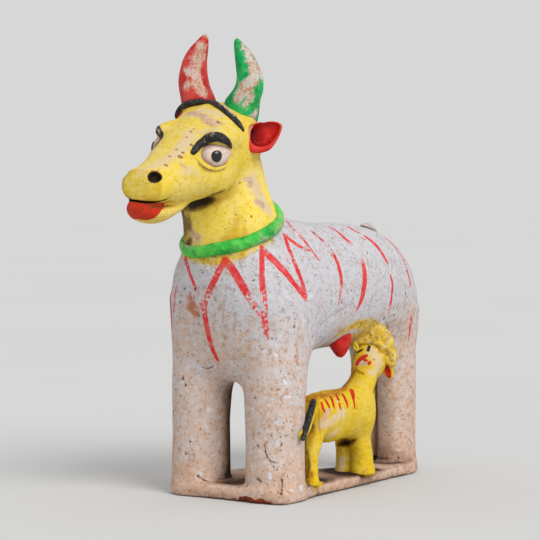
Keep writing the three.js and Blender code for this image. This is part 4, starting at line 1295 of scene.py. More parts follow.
ZIGZAG = [
    [(185.5, 259, 3.2), (187.5, 266, 2.6), (190.6, 276, 1.9), (196.7, 290.6, 2.1), (200.8, 302, 2.6), (203.5, 310, 3.0)],
    [(203.6, 306, 3.4), (205.6, 320, 3.2), (209, 337, 3.0), (213, 350, 2.8), (218.5, 362, 1.6)],
    [(203.6, 309, 3.2), (207.6, 295.5, 3.1), (214.6, 279.8, 3.1), (221.2, 267, 3.4), (225.2, 260.6, 3.8)],
    [(225.6, 260, 3.4), (233.5, 271, 4.0), (241.6, 284.5, 4.0), (248.8, 296.7, 3.6), (255, 306, 3.2), (260, 313.5, 2.6)],
    [(262, 247.8, 2.8), (262, 261, 2.8), (262, 279.4, 2.7), (264, 299.8, 3.1), (264.4, 312, 3.1)],
    [(264, 312, 2.8), (265.4, 325.0, 3.2), (266.8, 332, 2.4), (268, 338.5, 0.7)],
    [(262.5, 250, 3.2), (271.2, 258, 3.9), (280.4, 267, 3.9), (288.6, 276.3, 3.4), (295.7, 285.5, 2.8), (302, 293.5, 3.2), (306, 301.5, 1.0)],
    [(284, 234.5, 2.0), (289.6, 250.8, 2.4), (295.7, 266, 2.7), (301.8, 281.4, 2.7), (305, 293.7, 2.6), (306.4, 300.8, 1.0)],
    [(284, 234.5, 2.2), (292.7, 241.6, 2.5), (303, 247.8, 2.3), (312, 250.8, 1.8)],
    [(286.5, 221.2, 1.2), (295.7, 231.4, 1.7), (306, 242.7, 1.9), (315, 255, 1.4), (320.5, 262, 0.6)],
    [(176.6, 286, 0.7), (175.2, 294, 1.2), (174.3, 303, 1.3), (173.8, 313, 0.7)],
]
STRIPES = [
    [(312.4, 231.6, 1.3), (321.6, 239.9, 1.6), (328, 246.6, 0.9)], [(332, 251.5, 1.6), (334.5, 256, 1.8), (338, 264.7, 1.9), (340.6, 274.7, 1.9), (341.5, 284.6, 1.8), (340.6, 293, 1.4), (338.6, 304.5, 0.5)],
    [(329, 226.6, 1.0), (337.3, 231.6, 1.4), (344.8, 238.2, 2.2), (349.8, 242.3, 1.9), (355, 247.5, 0.9)],
    [(357, 251, 1.9), (361.4, 258.9, 2.1), (363.8, 268, 2.4), (364.8, 278, 2.9), (363.8, 288.8, 2.8), (361.4, 299.6, 2.2), (356.5, 310.5, 0.5)],
    [(348, 226.6, 1.0), (353, 229.9, 1.2), (360, 233.4, 0.5)], [(365, 236.5, 1.4), (373, 242.3, 2.0), (379.6, 249.8, 2.0), (385.4, 258.9, 1.4), (388, 264, 0.7)],
    [(390.6, 275.8, 1.0), (392.5, 284.6, 1.4), (392, 293, 1.3), (390.8, 303, 1.3), (388.6, 313, 0.5)],
    [(361.4, 225.8, 0.8), (370.5, 228.2, 1.0), (378.8, 232.4, 1.1), (387.9, 239.9, 1.4), (396.2, 248, 1.7), (402.8, 258.9, 1.7), (407.8, 273, 1.6), (411, 287, 1.5), (412.8, 299.6, 0.8)],
    [(411.5, 307, 0.8), (411, 319.5, 1.4), (409.9, 329.4, 1.2), (409, 338, 0.4)],
]
YELLOW_EDGE = [
    [(184, 252, 5), (196, 257, 6.5), (212, 259, 6.5), (228, 257, 6), (244, 253, 4.5), (258, 247, 3), (272, 240, 2)],
    [(340, 333, 3.0), (350, 327, 5.0), (360, 324.5, 6.5), (371, 326, 8.0), (380, 331.5, 8.5), (387, 340, 8.5), (391, 352, 7.5), (391.8, 363, 5.5), (390.5, 373, 3.5)],
    [(350, 337, 5.0), (362, 335, 6.0), (372, 337, 6.0), (381, 343, 6.0), (386, 352, 6.0), (388, 362, 5.0)],
    [(334, 336.5, 1.6), (341, 334, 3.0)], [(298.4, 437.8, 1.3), (299.2, 438.4, 1.3)], [(388, 386, 0.6), (391, 388, 0.8)], [(391, 394, 0.6), (392, 397, 0.7)],
]
STAINS = [[(190.5, 299, 5.5), (192.7, 307, 8.0), (196, 313, 6.0)], [(296.5, 340, 1.0), (297, 350, 1.7), (297, 362, 1.9)],
          [(224, 300, 0.9), (223.5, 312, 1.5), (222, 322, 1.0)], [(233, 311, 0.8), (235, 320, 1.3), (234, 332, 1.0)], [(238, 258.5, 1.6), (244, 256, 2.0)],
          [(336, 236.5, 1.6), (339, 237.5, 1.6)], [(362.5, 238.5, 1.6), (365, 240, 1.6)]]
# creases drawn in the wet clay
CREASES = [([(321, 328), (328, 320.5), (336, 314.5), (345, 309.5), (352, 306)], 3.0, 0.55), ([(202, 366.5), (208, 368.8), (214, 366), (219, 368.5)], 1.8, 0.5),
           ([(240, 147), (245, 153), (251, 157.5), (255.5, 166)], 1.7, 0.5), ([(237, 145), (243, 155), (250, 162)], 1.5, 0.35),
           ([(264.5, 442), (265.5, 452), (270, 460.5), (277, 463)], 1.2, 0.5), ([(281, 434), (282.5, 445), (281, 455), (282, 466)], 1.2, 0.25),
           ([(199, 219), (212, 213), (226, 205)], 1.6, 0.3)]
_runs = [dense([(x, y, 1.0) for x, y in line], 3.2) for line, _, _ in CREASES]
_P, _ok = strike(np.vstack(_runs)[:, :2], cow_skin)
_k = 0
for (line, r, depth), run in zip(CREASES, _runs):
    for q in range(len(run)):
        if _ok[_k]:
            SCARS.add(_P[_k], r, depth)
        _k += 1

PITS = [((280.5, 437), 1.3, 1.0), ((281.5, 444), 1.5, 1.1), ((281, 450.5), 1.3, 0.9), ((283, 457), 1.1, 0.8), ((274, 466.5), 1.0, 0.8), ((277, 470), 1.2, 0.9),
        ((283.5, 465), 1.0, 0.8), ((287.5, 476), 1.1, 0.8), ((282, 480.5), 1.6, 1.1), ((259, 479.5), 1.6, 1.0), ((282, 487), 1.2, 0.9), ((281, 494), 1.8, 1.1),
        ((182.5, 378.5), 1.3, 0.9), ((185.5, 385.5), 1.5, 0.9), ((185.5, 453), 1.1, 0.8), ((198, 476), 1.6, 0.9), ((204, 480), 1.5, 0.9), ((189, 491), 1.2, 0.8),
        ((255, 398), 1.4, 0.6), ((271, 412), 1.0, 0.6), ((197, 350.5), 1.0, 0.7), ((280, 361), 0.9, 0.6), ((404, 420), 1.2, 0.6), ((398, 458), 1.8, 0.9)]
for px, r, depth in PITS + [((261, 450), 2.2, 0.9), ((267, 437), 1.8, 0.8), ((272, 466), 2.4, 1.0), ((284, 452), 2.6, 1.0), ((286, 470), 2.0, 0.9),
                     ((270, 484), 2.6, 1.0), ((256, 468), 1.6, 0.7), ((284, 486), 2.2, 0.8), ((263, 478), 1.8, 0.8), ((212, 446), 1.6, 0.7),
                     ((187, 416), 1.5, 0.6), ((196, 470), 1.8, 0.7), ((204, 484), 1.8, 0.8), ((183, 381), 1.8, 0.8), ((247, 332), 2.0, 0.5),
                     ((330, 318), 2.4, 0.5), ((404, 420), 1.6, 0.6), ((398, 448), 2.0, 0.7), ((244, 500), 3.0, 1.3), ((262, 501), 3.4, 1.5),
                     ((222, 497), 2.6, 1.0), ((352, 484), 2.6, 1.0), ((392, 477), 2.4, 0.9), ((318, 494), 2.2, 0.8)]:
    p, ok = strike([px], cow_core)
    if ok[0]:
        SCARS.add(p[0], r, depth)
_rg = np.random.default_rng(5)
for _ in range(46):
    # more of them on the sides that are not seen
    a, z = _rg.uniform(0, 2 * math.pi), _rg.uniform(14, 150)
    p = settle(np.array([[58 * math.cos(a) * 0.8, 20 + 95 * math.sin(a), z]], F), cow_skin)[0]
    if p[2] > 8:
        SCARS.add(p, float(_rg.uniform(1.0, 2.4)), float(_rg.uniform(0.3, 0.8)))

red_body, yel_body, stain_body, white_body = Paint(), Paint(), Paint(), Paint()
red_body.strokes(ZIGZAG, cow_skin, mirror=range(4, 10), jitter=50)
STRIPES = [[(x, y, r * 1.35 + 0.35) for x, y, r in run] for run in STRIPES]
red_body.strokes(STRIPES, cow_skin, mirror=range(len(STRIPES)), jitter=80)
yel_body.strokes(YELLOW_EDGE, cow_skin, mirror=[0])
stain_body.strokes(STAINS, cow_skin)
crack_body = Paint()
crack_body.strokes([[(264.6, 441, 0.6), (265.2, 450, 0.8), (267.4, 457, 0.9), (271, 461.4, 0.9), (277.5, 463, 0.8)], [(201.5, 366.6, 0.6), (208, 368.8, 0.8), (214, 366, 0.7), (219, 368.4, 0.5)],
                    [(198, 475, 0.7), (203, 479.5, 0.9), (209.5, 482, 0.8)], [(256.5, 478.5, 1.0), (261, 481.5, 1.1)], [(183.2, 376, 1.0), (184.4, 381, 0.8), (186.6, 385.6, 1.0)],
                    [(185.4, 453, 0.9), (186, 454.6, 0.9)], [(281.8, 480, 1.3), (282.4, 486, 0.7), (281.6, 494, 1.3)]], cow_skin)
for _px, _r, _d in PITS:
    crack_body.dab(_px, _r * 0.9, cow_skin)
white_body.strokes([[(284, 381, 1.6), (285.8, 383, 1.6)], [(284.5, 396.6, 1.2), (290.5, 397, 1.2)], [(269.5, 474, 1.2), (270.5, 478, 1.8)], [(290.6, 490, 1.4), (292.6, 491, 1.2)], [(275, 354, 1.2), (277, 356, 1.4)]], cow_skin)
yel_body.points([(float(a), float(b), float(c), float(r) + 2.5) for a, b, c, r in MANE], None)
yel_body.points([(44, -52, 9, 2.5), (43, -46, 9.4, 4), (40, -40, 9.4, 2.5)], None)
yel_body.points([(46, -53, 7.5, 2), (46.5, -53.5, 3.5, 1.3)], None)
yel_body.points([(39.5, 14, 9.2, 2), (37, 22, 9.4, 4), (33, 30, 9.4, 2)], None)


def soft(paint, reach):
    return lambda P, N: np.clip(0.5 - paint(P) / reach, 0, 1)


def slip_cover(P, N=None):
    """How much white slip is left: most on the flank, least on the feet and the base."""
    z = P[:, 2]
    v = np.interp(z, [0, 10, 30, 70, 105, 130, 190], [0.10, 0.16, 0.32, 0.43, 0.62, 0.84, 0.88])
    rear = np.clip((P[:, 1] - 50) / 60, 0, 1)
    v = v - 0.18 * rear
    v = v - 0.22 * np.exp(-(((P[:, 0] + 22) / 26)**2 + ((P[:, 1] + 95) / 30)**2 + ((z - 118) / 26)**2))
    v = v + 0.20 * np.exp(-(((P[:, 1] + 42) / 22)**2 + ((z - 105) / 30)**2)) * (P[:, 0] > 0)
    return v


def chip_edge(P, N=None):
    """Knocks along the base's lower rim, most by the near corner."""
    d = base_plan(P.astype(F))
    rim = np.clip(1.15 - np.abs(d) / 5, 0, 1)
    front = np.exp(-(((P[:, 0] - 27) / 19)**4 + ((P[:, 1] + 96) / 12)**2))
    high = np.clip(1 - P[:, 2] / (1.6 + 6.0 * front), 0, 1)
    return rim * high * (0.62 + 0.55 * front)


def shade(P, N):
    """Painted shade and grime in creases, gaps and overhangs, near and wide."""
    both = lambda p: np.minimum(cow_skin(p), calf_skin(p))
    out = np.zeros(len(P), F)
    low = np.clip((F(140) - P[:, 2]) / 25, 0, 1)
    for h, w in ((2.5, 0.25), (6.0, 0.20), (14.0, 0.27), (30.0, 0.28)):
        out += F(w) * np.clip(1 - in_parts(both, (P + N * F(h)).astype(F)) / F(h), 0, 1) * (low if h > 10 else 1)
    x, y, z = P.T
    # painted shade in the gap between the front legs, darkest on the leg sides facing into it and on the base between
    # them, and on the ground round the calf
    gap = np.clip((-45 - y) / 12, 0, 1) * np.clip((108 - z) / 18, 0, 1)
    facing = np.where(np.abs(x) < 32, np.clip((-N[:, 0] * np.sign(x) * 0.809 + N[:, 1] * 0.588 - 0.50) / 0.50, 0, 1)**2, 0)
    floor_ = np.clip(1.3 - np.abs(x) / 12, 0, 1) * np.clip((16 - z) / 5, 0, 1) * np.clip((y + 92) / 8, 0, 1) * (N[:, 2] > 0.4)
    out = out * (1 - F(0.75) * gap) + gap * (F(0.55) * facing + F(0.42) * floor_)
    d = in_parts(calf_skin, P)
    out += F(0.20) * np.clip(1 - d / 15, 0, 1) * (z > 8) + F(0.16) * np.clip(1 - d / 22, 0, 1) * np.clip((18 - z) / 6, 0, 1)
    out += F(0.10) * np.exp(-(((z - 26) / 14)**2 + ((y - 84) / 22)**2)) + F(0.08) * np.clip(1 - np.abs(z - 9.6) / 7, 0, 1)
    # next to the calf the painted shade and grime stay a brown film, never black
    out = np.where((y > 6) & (z > 12) & (z < 112), np.minimum(out, 0.33), out)
    return out.astype(F)


# =====================================================================================
# the cow's body: one worked skin, parted at the joints between its lumps
# =====================================================================================

COLLAR_C, COLLAR_N = np.array([0, -81.5, 172.6]), np.array([0, -math.sin(math.radians(23)), math.cos(math.radians(23))])

V, Q = polygonise(cow_skin, (-56, -118, -3), (56, 120, 196), 1.05 * COARSE)
LEG_CUT, HIND_CUT, BASE_CUT = 69.0, 77.0, 10.8


def side(c, p, n):
    return (c - np.asarray(p)) @ np.asarray(n)


def body_label(c):
    x, y, z = c.T
    front, hind = (y < 0) & (z < LEG_CUT), (y > 20) & (z < HIND_CUT)
    return np.select(
        [(side(c, COLLAR_C, COLLAR_N) > 0) & (y < -20) & (z > 150), z < BASE_CUT, front & (x > 0), front, hind & (x > HIND_X), hind],
        ["", "base_slab", "front_left_leg", "front_right_leg", "hind_left_leg", "hind_right_leg"], "trunk")


parts = cut_skin(V, Q, [
    ((0, 0, BASE_CUT), (0, 0, 1), lambda c: c[:, 0] < 1e6),
    ((0, 0, LEG_CUT), (0, 0, 1), lambda c: c[:, 1] < 0),
    ((0, 0, HIND_CUT), (0, 0, 1), lambda c: c[:, 1] > 20),
    ((HIND_X, 0, 0), (1, 0, 0), lambda c: (c[:, 1] > 20) & (c[:, 2] > BASE_CUT - 0.01) & (c[:, 2] < HIND_CUT + 0.01)),
    (COLLAR_C, COLLAR_N, lambda c: (c[:, 1] < -20) & (c[:, 2] > 150)),
], body_label)
body_attrs = {"slip": slip_cover, "cav": shade, "chip": chip_edge, "white": soft(white_body, 2.0), "crack": soft(crack_body, 1.5),
              "red": red_body, "yel": yel_body, "stain": stain_body}
for name, (v, f) in parts.items():
    add_piece("v_" + name, v, f, SLIP, cow_skin, body_attrs, [name])

# =====================================================================================
# neck, head and lower jaw
# =====================================================================================

V, Q = polygonise(cow_skin, (-42, -190, 150), (42, -40, 264), 0.62 * COARSE)
NECK_P, NECK_N = np.array([0, -150, 184.5]), np.array([0, -0.40, 0.9165])
JAW_BACK = -146.0
MOUTH_P = reroll((0, -178, 193.4))
_m2, _m3 = reroll((0, -150, 195.2)), reroll((10, -178, 193.4))
MOUTH_N = np.cross(_m3 - MOUTH_P, _m2 - MOUTH_P)
MOUTH_N = MOUTH_N / np.linalg.norm(MOUTH_N) * np.sign(MOUTH_N[2])


def head_label(c):
    y = c[:, 1]
    return np.select([side(c, COLLAR_C, COLLAR_N) < 0, (y < JAW_BACK) & (side(c, MOUTH_P, MOUTH_N) < 0), (side(c, NECK_P, NECK_N) < 0) & (y > JAW_BACK)],
                     ["", "lower_jaw", "neck"], "head")


parts = cut_skin(V, Q, [
    (COLLAR_C, COLLAR_N, lambda c: c[:, 0] < 1e6),
    (NECK_P, NECK_N, lambda c: c[:, 1] > JAW_BACK - 2),
    ((0, JAW_BACK, 0), (0, 1, 0), lambda c: side(c, MOUTH_P, MOUTH_N) < 3),
    (MOUTH_P, MOUTH_N, lambda c: c[:, 1] < JAW_BACK + 0.01),
], head_label)

head_red, head_blk, head_scuff, head_worn, head_fleck, head_shadow_grime = [Paint() for _ in range(6)]
LIP = [(127, 206.5, 2.6), (133, 211, 6.8), (142, 213, 8.8), (150, 211.5, 8.4), (158, 207.5, 4.6), (163.5, 205, 1.8)]
head_red.strokes([LIP, [(128, 204, 1.6), (140, 205, 1.8), (152, 204.6, 1.8), (162, 203.4, 1.0)]], cow_skin)
head_red.points([reroll((0, -173, 188)).tolist() + [6.0], reroll((-6, -170, 187)).tolist() + [6.0], reroll((-11, -161, 187)).tolist() + [3.4]], None)
head_scuff.strokes([
    [(189, 113, 2.4), (199, 115, 4.0), (207, 120, 5.5), (213, 125, 4.5)], [(217, 121.5, 1.2), (222, 124, 1.3)], [(181, 165, 1.6), (186, 168, 2.6)],
    [(246, 179, 2.2), (251, 181, 3.2), (250, 187, 2.4)], [(192, 231, 2.0), (198, 237, 2.6)], [(255, 200, 1.5), (262, 205, 2.0)]], cow_skin)
head_scuff.points([(-20, -110, 246, 4), (-24, -116, 238, 5), (-24, -124, 215, 3)], cow_skin)
head_scuff.points([(-28, -90, 205, 5), (-29, -84, 195, 4)], cow_skin)
head_fleck.strokes([[(x - r * 0.5, y - r * 0.2, r), (x + r * 0.5, y + r * 0.3, r * 0.8)] for x, y, r in (
    (191, 131.5, 1.2), (186.8, 137.2, 1.0), (191.7, 145, 1.4), (183, 152.5, 1.3), (180.5, 157, 2.0), (170, 156.4, 1.2), (166.2, 165.2, 1.6), (176.8, 149.5, 1.0),
    (159, 169.5, 0.8), (218.5, 122.5, 1.6), (194, 128.5, 0.9), (153.5, 171.6, 1.9), (157.5, 171.4, 1.4), (246, 221, 0.9), (236, 215, 0.8), (225, 229, 0.8), (251.5, 216.5, 1.0))], cow_skin)
# painted shadow with some grime: under the jaw, low on the left of the neck, and a dark line under the eye
head_shadow_grime.strokes([[(190, 206, 5.0), (200, 200.5, 4.6), (211, 196, 3.4), (222, 191.5, 1.6)],
                   [(190, 240, 1.5), (188, 246, 2.0)], [(200, 164.5, 0.4), (210, 170, 0.8), (222, 168, 0.5)]], cow_skin)
head_worn.strokes([[(186, 115, 4), (204, 111, 5), (220, 115, 4)], [(191, 132, 5), (183, 145, 7), (173, 155, 6.5), (161, 162, 5), (150, 167, 3.5)], [(184, 170, 4), (192, 172, 3)],
                   [(253, 176, 5), (257, 190, 7), (264, 204, 6), (270, 212, 4)], [(200, 132, 2.5), (214, 130, 3)], [(146, 168, 2), (138, 173, 2)], [(190, 232, 3), (198, 240, 3)]], cow_skin)
head_worn.points([(-24, -104, 240, 7), (-26, -116, 228, 7)], cow_skin)
head_worn.points([(-26, -88, 210, 7), (-30, -78, 190, 6)], cow_skin)
head_worn.points([(0, -60, 196, 7), (6, -64, 208, 6)], cow_skin)


# painted shadow with patchy grime on the neck below the jaw, weaker on the side turned away from the camera
def throat_shadow_grime(P):
    a = P[:, :2] - np.array([-1.9, -86.5], F)
    c = (a @ np.array([-0.67, -0.745], F)) / np.maximum(np.linalg.norm(a, axis=1), 1)
    t = np.clip((c - 0.75) / 0.19, 0, 1) * np.clip((P[:, 2] - 164) / 12, 0, 1) * np.clip((213 - P[:, 2]) / 14, 0, 1)
    seen = (a @ np.array([0.588, -0.809], F)) / np.maximum(np.linalg.norm(a, axis=1), 1)
    patchy = F(0.54) + F(0.14) * np.clip((P[:, 2] - 186) / 14, 0, 1) + F(0.12) * NB(P, 9, 4.4) + F(0.10) * NC(P, 3.4, 1.3) - np.clip(0.04 - seen, 0, 0.5) * F(1.5)
    return (t * np.clip(patchy, 0, 1) * (np.linalg.norm(a, axis=1) < 40)).astype(F)


head_shade_soft_mask = soft(head_shadow_grime, 10.0)
# cav: painted shade in the creases and hollows of the head and neck
head_attrs = {"cav": lambda P, N: hollowness(cow_skin, P, N), "red": head_red, "blk": lambda P, N: np.minimum(nostrils(P) - F(1.2), head_blk(P)), "scuff": soft(head_scuff, 6.0), "worn": soft(head_worn, 11.0),
              "fleck": soft(head_fleck, 1.2), "dark_shade_soil": lambda P, N=None: np.maximum(head_shade_soft_mask(P, N), throat_shadow_grime(P)),
              # painted light on the neck: the part below the head gets a brighter yellow
              "neck_lit": lambda P, N=None: (np.clip(0.45 - side(P, NECK_P, NECK_N) / 16, 0, 1) * np.clip((P[:, 1] + 140) / 16, 0, 1)).astype(F)}
for name, (v, f) in parts.items():
    add_piece("v_" + name, v, f, YEL, cow_skin, head_attrs, [name], smooth_h=0.4)

# =====================================================================================
# pieces set on the head: horns, ears, eyes, coils
# =====================================================================================


def rough_horn(f, amp=0.45):
    return lambda P: f(P) + F(amp) * NB(P, 12, 2.2) + F(amp * 0.5) * NC(P, 5, 0.3)


def far(P, N=None):
    return np.full(len(P), 60.0, F)


def zero(P, N=None):
    return np.zeros(len(P), F)


HORN_WEAR = {   # where the paint is gone
    "right": [[(202.5, 46, 2.6), (199.5, 55, 3.2), (196.5, 66, 3.8), (196.5, 76, 3.6), (199, 86, 3.8), (203, 92.5, 3.6)], [(187.5, 71, 1.8), (190, 74, 1.6)],
              [(206, 35.6, 1.4), (208.5, 36.6, 1.4)], [(186, 86, 1.8), (192, 83, 2.0)], [(204.5, 52, 0.8), (204, 57, 0.8)]],
    "left": [[(247, 47, 1.8), (250.5, 56, 3.6), (254.5, 67, 4.4), (255, 76, 4.4), (250, 84, 4.8), (244, 91, 4.8), (238, 97, 3.8)], [(259, 64, 2.4), (261.5, 76, 2.0)],
             [(251, 97, 2.4), (247, 103, 1.6)], [(256, 112, 1.4), (252, 117, 1.6)], [(242, 43, 0.8), (243, 48, 0.8)]],
}


for side_name, f, mat, slot in (("left", horn_l_f, GREEN_HORN, "green"), ("right", horn_r_f, RED_HORN, "red")):
    g = rough_horn(f)
    xs = (2, 38) if side_name == "left" else (-38, 2)
    V, Q = polygonise(lambda P: smax(g(P), F(241) - P[:, 2], 1.5), (xs[0] - 4, -112, 236), (xs[1] + 4, -74, 302), 0.62 * COARSE)
    bare = Paint()
    bare.strokes(HORN_WEAR[side_name], g)
    add_piece(f"v_{side_name}_horn", V, Q, mat, lambda P: smax(g(P), F(241) - P[:, 2], 1.5), {
        "worn": lambda P, N, bare=bare: np.where(N @ TOWARD.astype(F) > -0.1, np.clip(0.72 - bare(P) / 5.0, 0, 1), np.clip(0.35 + 0.5 * NA(P, 11, 1.3), 0, 1)),
        # cav: painted shade where the horn meets the head
        "cav": lambda P, N: np.clip(0.55 - np.abs(cow_skin(P)) * 0.3, 0, 1)}, [f"{side_name}_horn"])

def rough_ear(P):
    return ear_f(P) + F(0.22) * NB(P, 9, 4.4) + F(0.12) * NC(P, 4, 2.6)


for side_name, g in (("left", rough_ear), ("right", lambda P: rough_ear(mirror_head(P - EAR_SHIFT)))):
    back_to = (lambda P: P) if side_name == "left" else (lambda P: mirror_head(P - EAR_SHIFT))
    mid = EAR_C if side_name == "left" else mirror_head(np.array([EAR_C], F))[0].astype(float) + EAR_SHIFT
    V, Q = polygonise(g, mid - 19, mid + 19, 0.45 * COARSE)
    add_piece(f"v_{side_name}_ear", V, Q, EAR_M, g, {
        "worn": lambda P, N, b=back_to: np.clip(1.2 - np.abs(ear_local(b(P))[:, 2] - 1.3) / 1.6, 0, 1) * np.clip(0.55 - (ear_local(b(P))[:, 0] + 6.5) / 6 + ear_local(b(P))[:, 1] / 16, 0, 1),
        # cav: painted shade in the ear's hollow, darker on its inner side
        "cav": lambda P, N, g=g, b=back_to: np.clip(hollowness(g, P, N) * 0.92 - 0.12 + np.clip(-(ear_local(b(P))[:, 2] + 1.0) / 5.0, 0, 1) * np.clip(0.16 - ear_local(b(P))[:, 0] * 0.065, 0, 0.5) * (((ear_local(b((P + N).astype(F))) - ear_local(b(P)))[:, 2] > 0.1)), 0, 1),
        "red": lambda P, N, b=back_to: -((ear_local(b((P + N).astype(F))) - ear_local(b(P)))[:, 2] + 0.62) * 5.0}, [f"{side_name}_ear"], smooth_h=0.35)


def tube(name, path, radius, nodes, mat, sides=18, closed=False, flat=1.0, normals=None, seed=1, lump=0.18, attrs=None):
    """A rolled coil along a path, a little uneven, with rounded ends."""
    path = np.asarray(path, float)
    n = len(path)
    radius = np.broadcast_to(np.asarray(radius, float), (n,)).copy()
    tang = np.gradient(path, axis=0) if not closed else np.roll(path, -1, 0) - np.roll(path, 1, 0)
    tang /= np.linalg.norm(tang, axis=1, keepdims=True)
    up = np.asarray(normals, float)
    up = up - (up * tang).sum(1, keepdims=True) * tang
    up /= np.linalg.norm(up, axis=1, keepdims=True)
    across = np.cross(tang, up)
    V, faces = [], []
    rows = []
    if not closed:
        # round caps: shrink the first and last rings
        caps = [(-0.92, 0.40), (-0.70, 0.72), (-0.38, 0.93)]
        for o, k in caps:
            rows.append((path[0] + tang[0] * o * radius[0], radius[0] * k, up[0], across[0]))
    for i in range(n):
        rows.append((path[i], radius[i], up[i], across[i]))
    if not closed:
        for o, k in [(0.38, 0.93), (0.70, 0.72), (0.92, 0.40)]:
            rows.append((path[-1] + tang[-1] * o * radius[-1], radius[-1] * k, up[-1], across[-1]))
    th = np.linspace(0, 2 * math.pi, sides, endpoint=False)
    for c, r, u, a in rows:
        for t in th:
            V.append(c + r * (math.cos(t) * u * flat + math.sin(t) * a))
    m = len(rows)
    V = np.array(V)
    for i in range(m if closed else m - 1):
        for k in range(sides):
            j, k2 = (i + 1) % m, (k + 1) % sides
            faces.append([i * sides + k, i * sides + k2, j * sides + k2, j * sides + k])
    if not closed:
        V = np.vstack([V, rows[0][0] - tang[0] * 0.06 * radius[0], rows[-1][0] + tang[-1] * 0.06 * radius[-1]])
        for k in range(sides):
            faces.append([(k + 1) % sides, k, len(V) - 2])
            faces.append([(m - 1) * sides + k, (m - 1) * sides + (k + 1) % sides, len(V) - 1])
    C = np.repeat(np.array([r[0] for r in rows]), sides, 0)
    if not closed:
        C = np.vstack([C, C[:1], C[-1:]])
    out = V - C
    out /= np.maximum(np.linalg.norm(out, axis=1, keepdims=True), 1e-6)
    q = V.astype(F)
    V = V + out * (lump * NB(q, 6.5, seed) + lump * 0.55 * NC(q, 2.6, seed + 0.7))[:, None]
    base = {"worn": zero, "cav": zero}
    base.update(attrs or {})
    return add_piece("v_" + name, V, faces, mat, None, base, nodes, close=False)


def along(P, step=1.0, closed=False):
    """Evenly spaced points through a coarse path."""
    P = np.asarray(P, float)
    if closed:
        P = np.vstack([P, P[:1]])
    D = spline(P, 16)
    L = np.concatenate([[0], np.cumsum(np.linalg.norm(np.diff(D, axis=0), axis=1))])
    s = np.linspace(0, L[-1], max(6, int(L[-1] / step)))
    out = np.stack([np.interp(s, L, D[:, c]) for c in range(D.shape[1])], 1)
    return out[:-1] if closed else out


def coil_on(px, sdf, lift, extra_first=None, extra_last=None, step=1.0):
    """A coil's path laid on the clay where it is seen, [x, y, radius] in the frame."""
    px = np.asarray(px, float)
    P, ok = strike(px[:, :2], sdf)
    pts = [np.append(p, r) for p, r, o in zip(P, px[:, 2] / PX, ok) if o]
    if extra_first is not None:
        pts = [np.asarray(e, float) for e in extra_first] + pts
    if extra_last is not None:
        pts = pts + [np.asarray(e, float) for e in extra_last]
    D = along(np.array(pts), step)
    S = settle(D[:, :3].astype(F), sdf)
    N = normals_at(sdf, S, 1.5)
    return S + N * (D[:, 3] * lift)[:, None], D[:, 3], N


# eyeballs: almonds that stand well out of the head
EYE_N = np.array([0.83, -0.56, 0.03])
EYE_N /= np.linalg.norm(EYE_N)
EYE_T = np.cross([0, 0, 1.0], EYE_N)
EYE_T /= np.linalg.norm(EYE_T)
EYE_M3 = np.stack([EYE_N, EYE_T, np.cross(EYE_N, EYE_T)])
EYE_RAD = np.array([7.6, 12.2, 9.0])
EYE_TILT = math.radians(11.0)
EYE_C = strike([(214.6, 155.4)], cow_skin)[0][0].astype(float) - EYE_N * 3.4
_ct, _st = math.cos(EYE_TILT), math.sin(EYE_TILT)
EYE_M3 = np.array([[1, 0, 0], [0, _ct, _st], [0, -_st, _ct]]) @ EYE_M3


def eye_l_f(P):
    q = (P - EYE_C.astype(F)) @ EYE_M3.T.astype(F)
    t = np.clip(np.abs(q[:, 1] / F(EYE_RAD[1])), 0, 1)
    q[:, 2] = q[:, 2] / (1 - F(0.46) * t**F(1.8))
    return ball(q, (0, 0, 0), EYE_RAD)


FAR_EYE = np.array([2.2, 0, 0], F)


def eye_r_f(P):
    return eye_l_f(mirror_head((P - FAR_EYE).astype(F)))


def eyeball(side_name):
    bm = bmesh.new()
    bmesh.ops.create_icosphere(bm, subdivisions=5, radius=1.0)
    V = np.array([v.co[:] for v in bm.verts])
    faces = [[v.index for v in f.verts] for f in bm.faces]
    bm.free()
    V[:, 2] *= 1 - 0.46 * np.abs(V[:, 1])**1.8
    V = (V * EYE_RAD) @ EYE_M3 + EYE_C
    q = V.astype(F)
    V = V + (V - EYE_C) * (0.012 * NB(q, 7, 1.1) + 0.008 * NC(q, 3, 0.4))[:, None]
    if side_name == "right":
        V = mirror_head(V.astype(F)).astype(float) + FAR_EYE
        faces = [f[::-1] for f in faces]
    # cav: painted shade where the eyeball meets the head
    add_piece(f"v_{side_name}_eyeball", V, faces, EYE_M, None, {"cav": lambda P, N: np.clip(1 - cow_skin(P) / 3.2, 0, 1)}, [f"{side_name}_eyeball"], close=False)


eyeball("left")
eyeball("right")


def pupil(side_name, centre, normal, r, dome):
    """A glossy black button standing a little proud of the eyeball."""
    normal = np.asarray(normal, float) / np.linalg.norm(normal)
    u = np.cross(normal, [0, 0, 1.0])
    u /= np.linalg.norm(u)
    w = np.cross(u, normal)
    bm = bmesh.new()
    bmesh.ops.create_icosphere(bm, subdivisions=4, radius=1.0)
    V = np.array([v.co[:] for v in bm.verts])
    faces = [[v.index for v in f.verts] for f in bm.faces]
    bm.free()
    rad = 1 + 0.035 * np.sin(3 * np.arctan2(V[:, 1], V[:, 0]) + 0.7) * (1 - np.abs(V[:, 2]))
    V = centre + np.outer(V[:, 0] * r * 0.94 * rad, u) + np.outer(V[:, 1] * r * rad, w) + np.outer(V[:, 2] * dome, normal)
    return add_piece(f"v_{side_name}_pupil", V, faces, PUPIL_M, None, {}, [f"{side_name}_pupil"], close=False)


P, ok = strike([(216.9, 156.2)], eye_l_f)
n = normals_at(eye_l_f, P)[0]
pupil("left", P[0] - n * 0.5, n, 3.75, 1.5)
PR = mirror_head(P.astype(F)) + FAR_EYE
n = normals_at(eye_r_f, PR)[0]
pupil("right", PR[0] - n * 0.5, n, 3.75, 1.5)


def face_f(P):
    return np.minimum(cow_skin(P), np.minimum(eye_l_f(P), eye_r_f(P)))


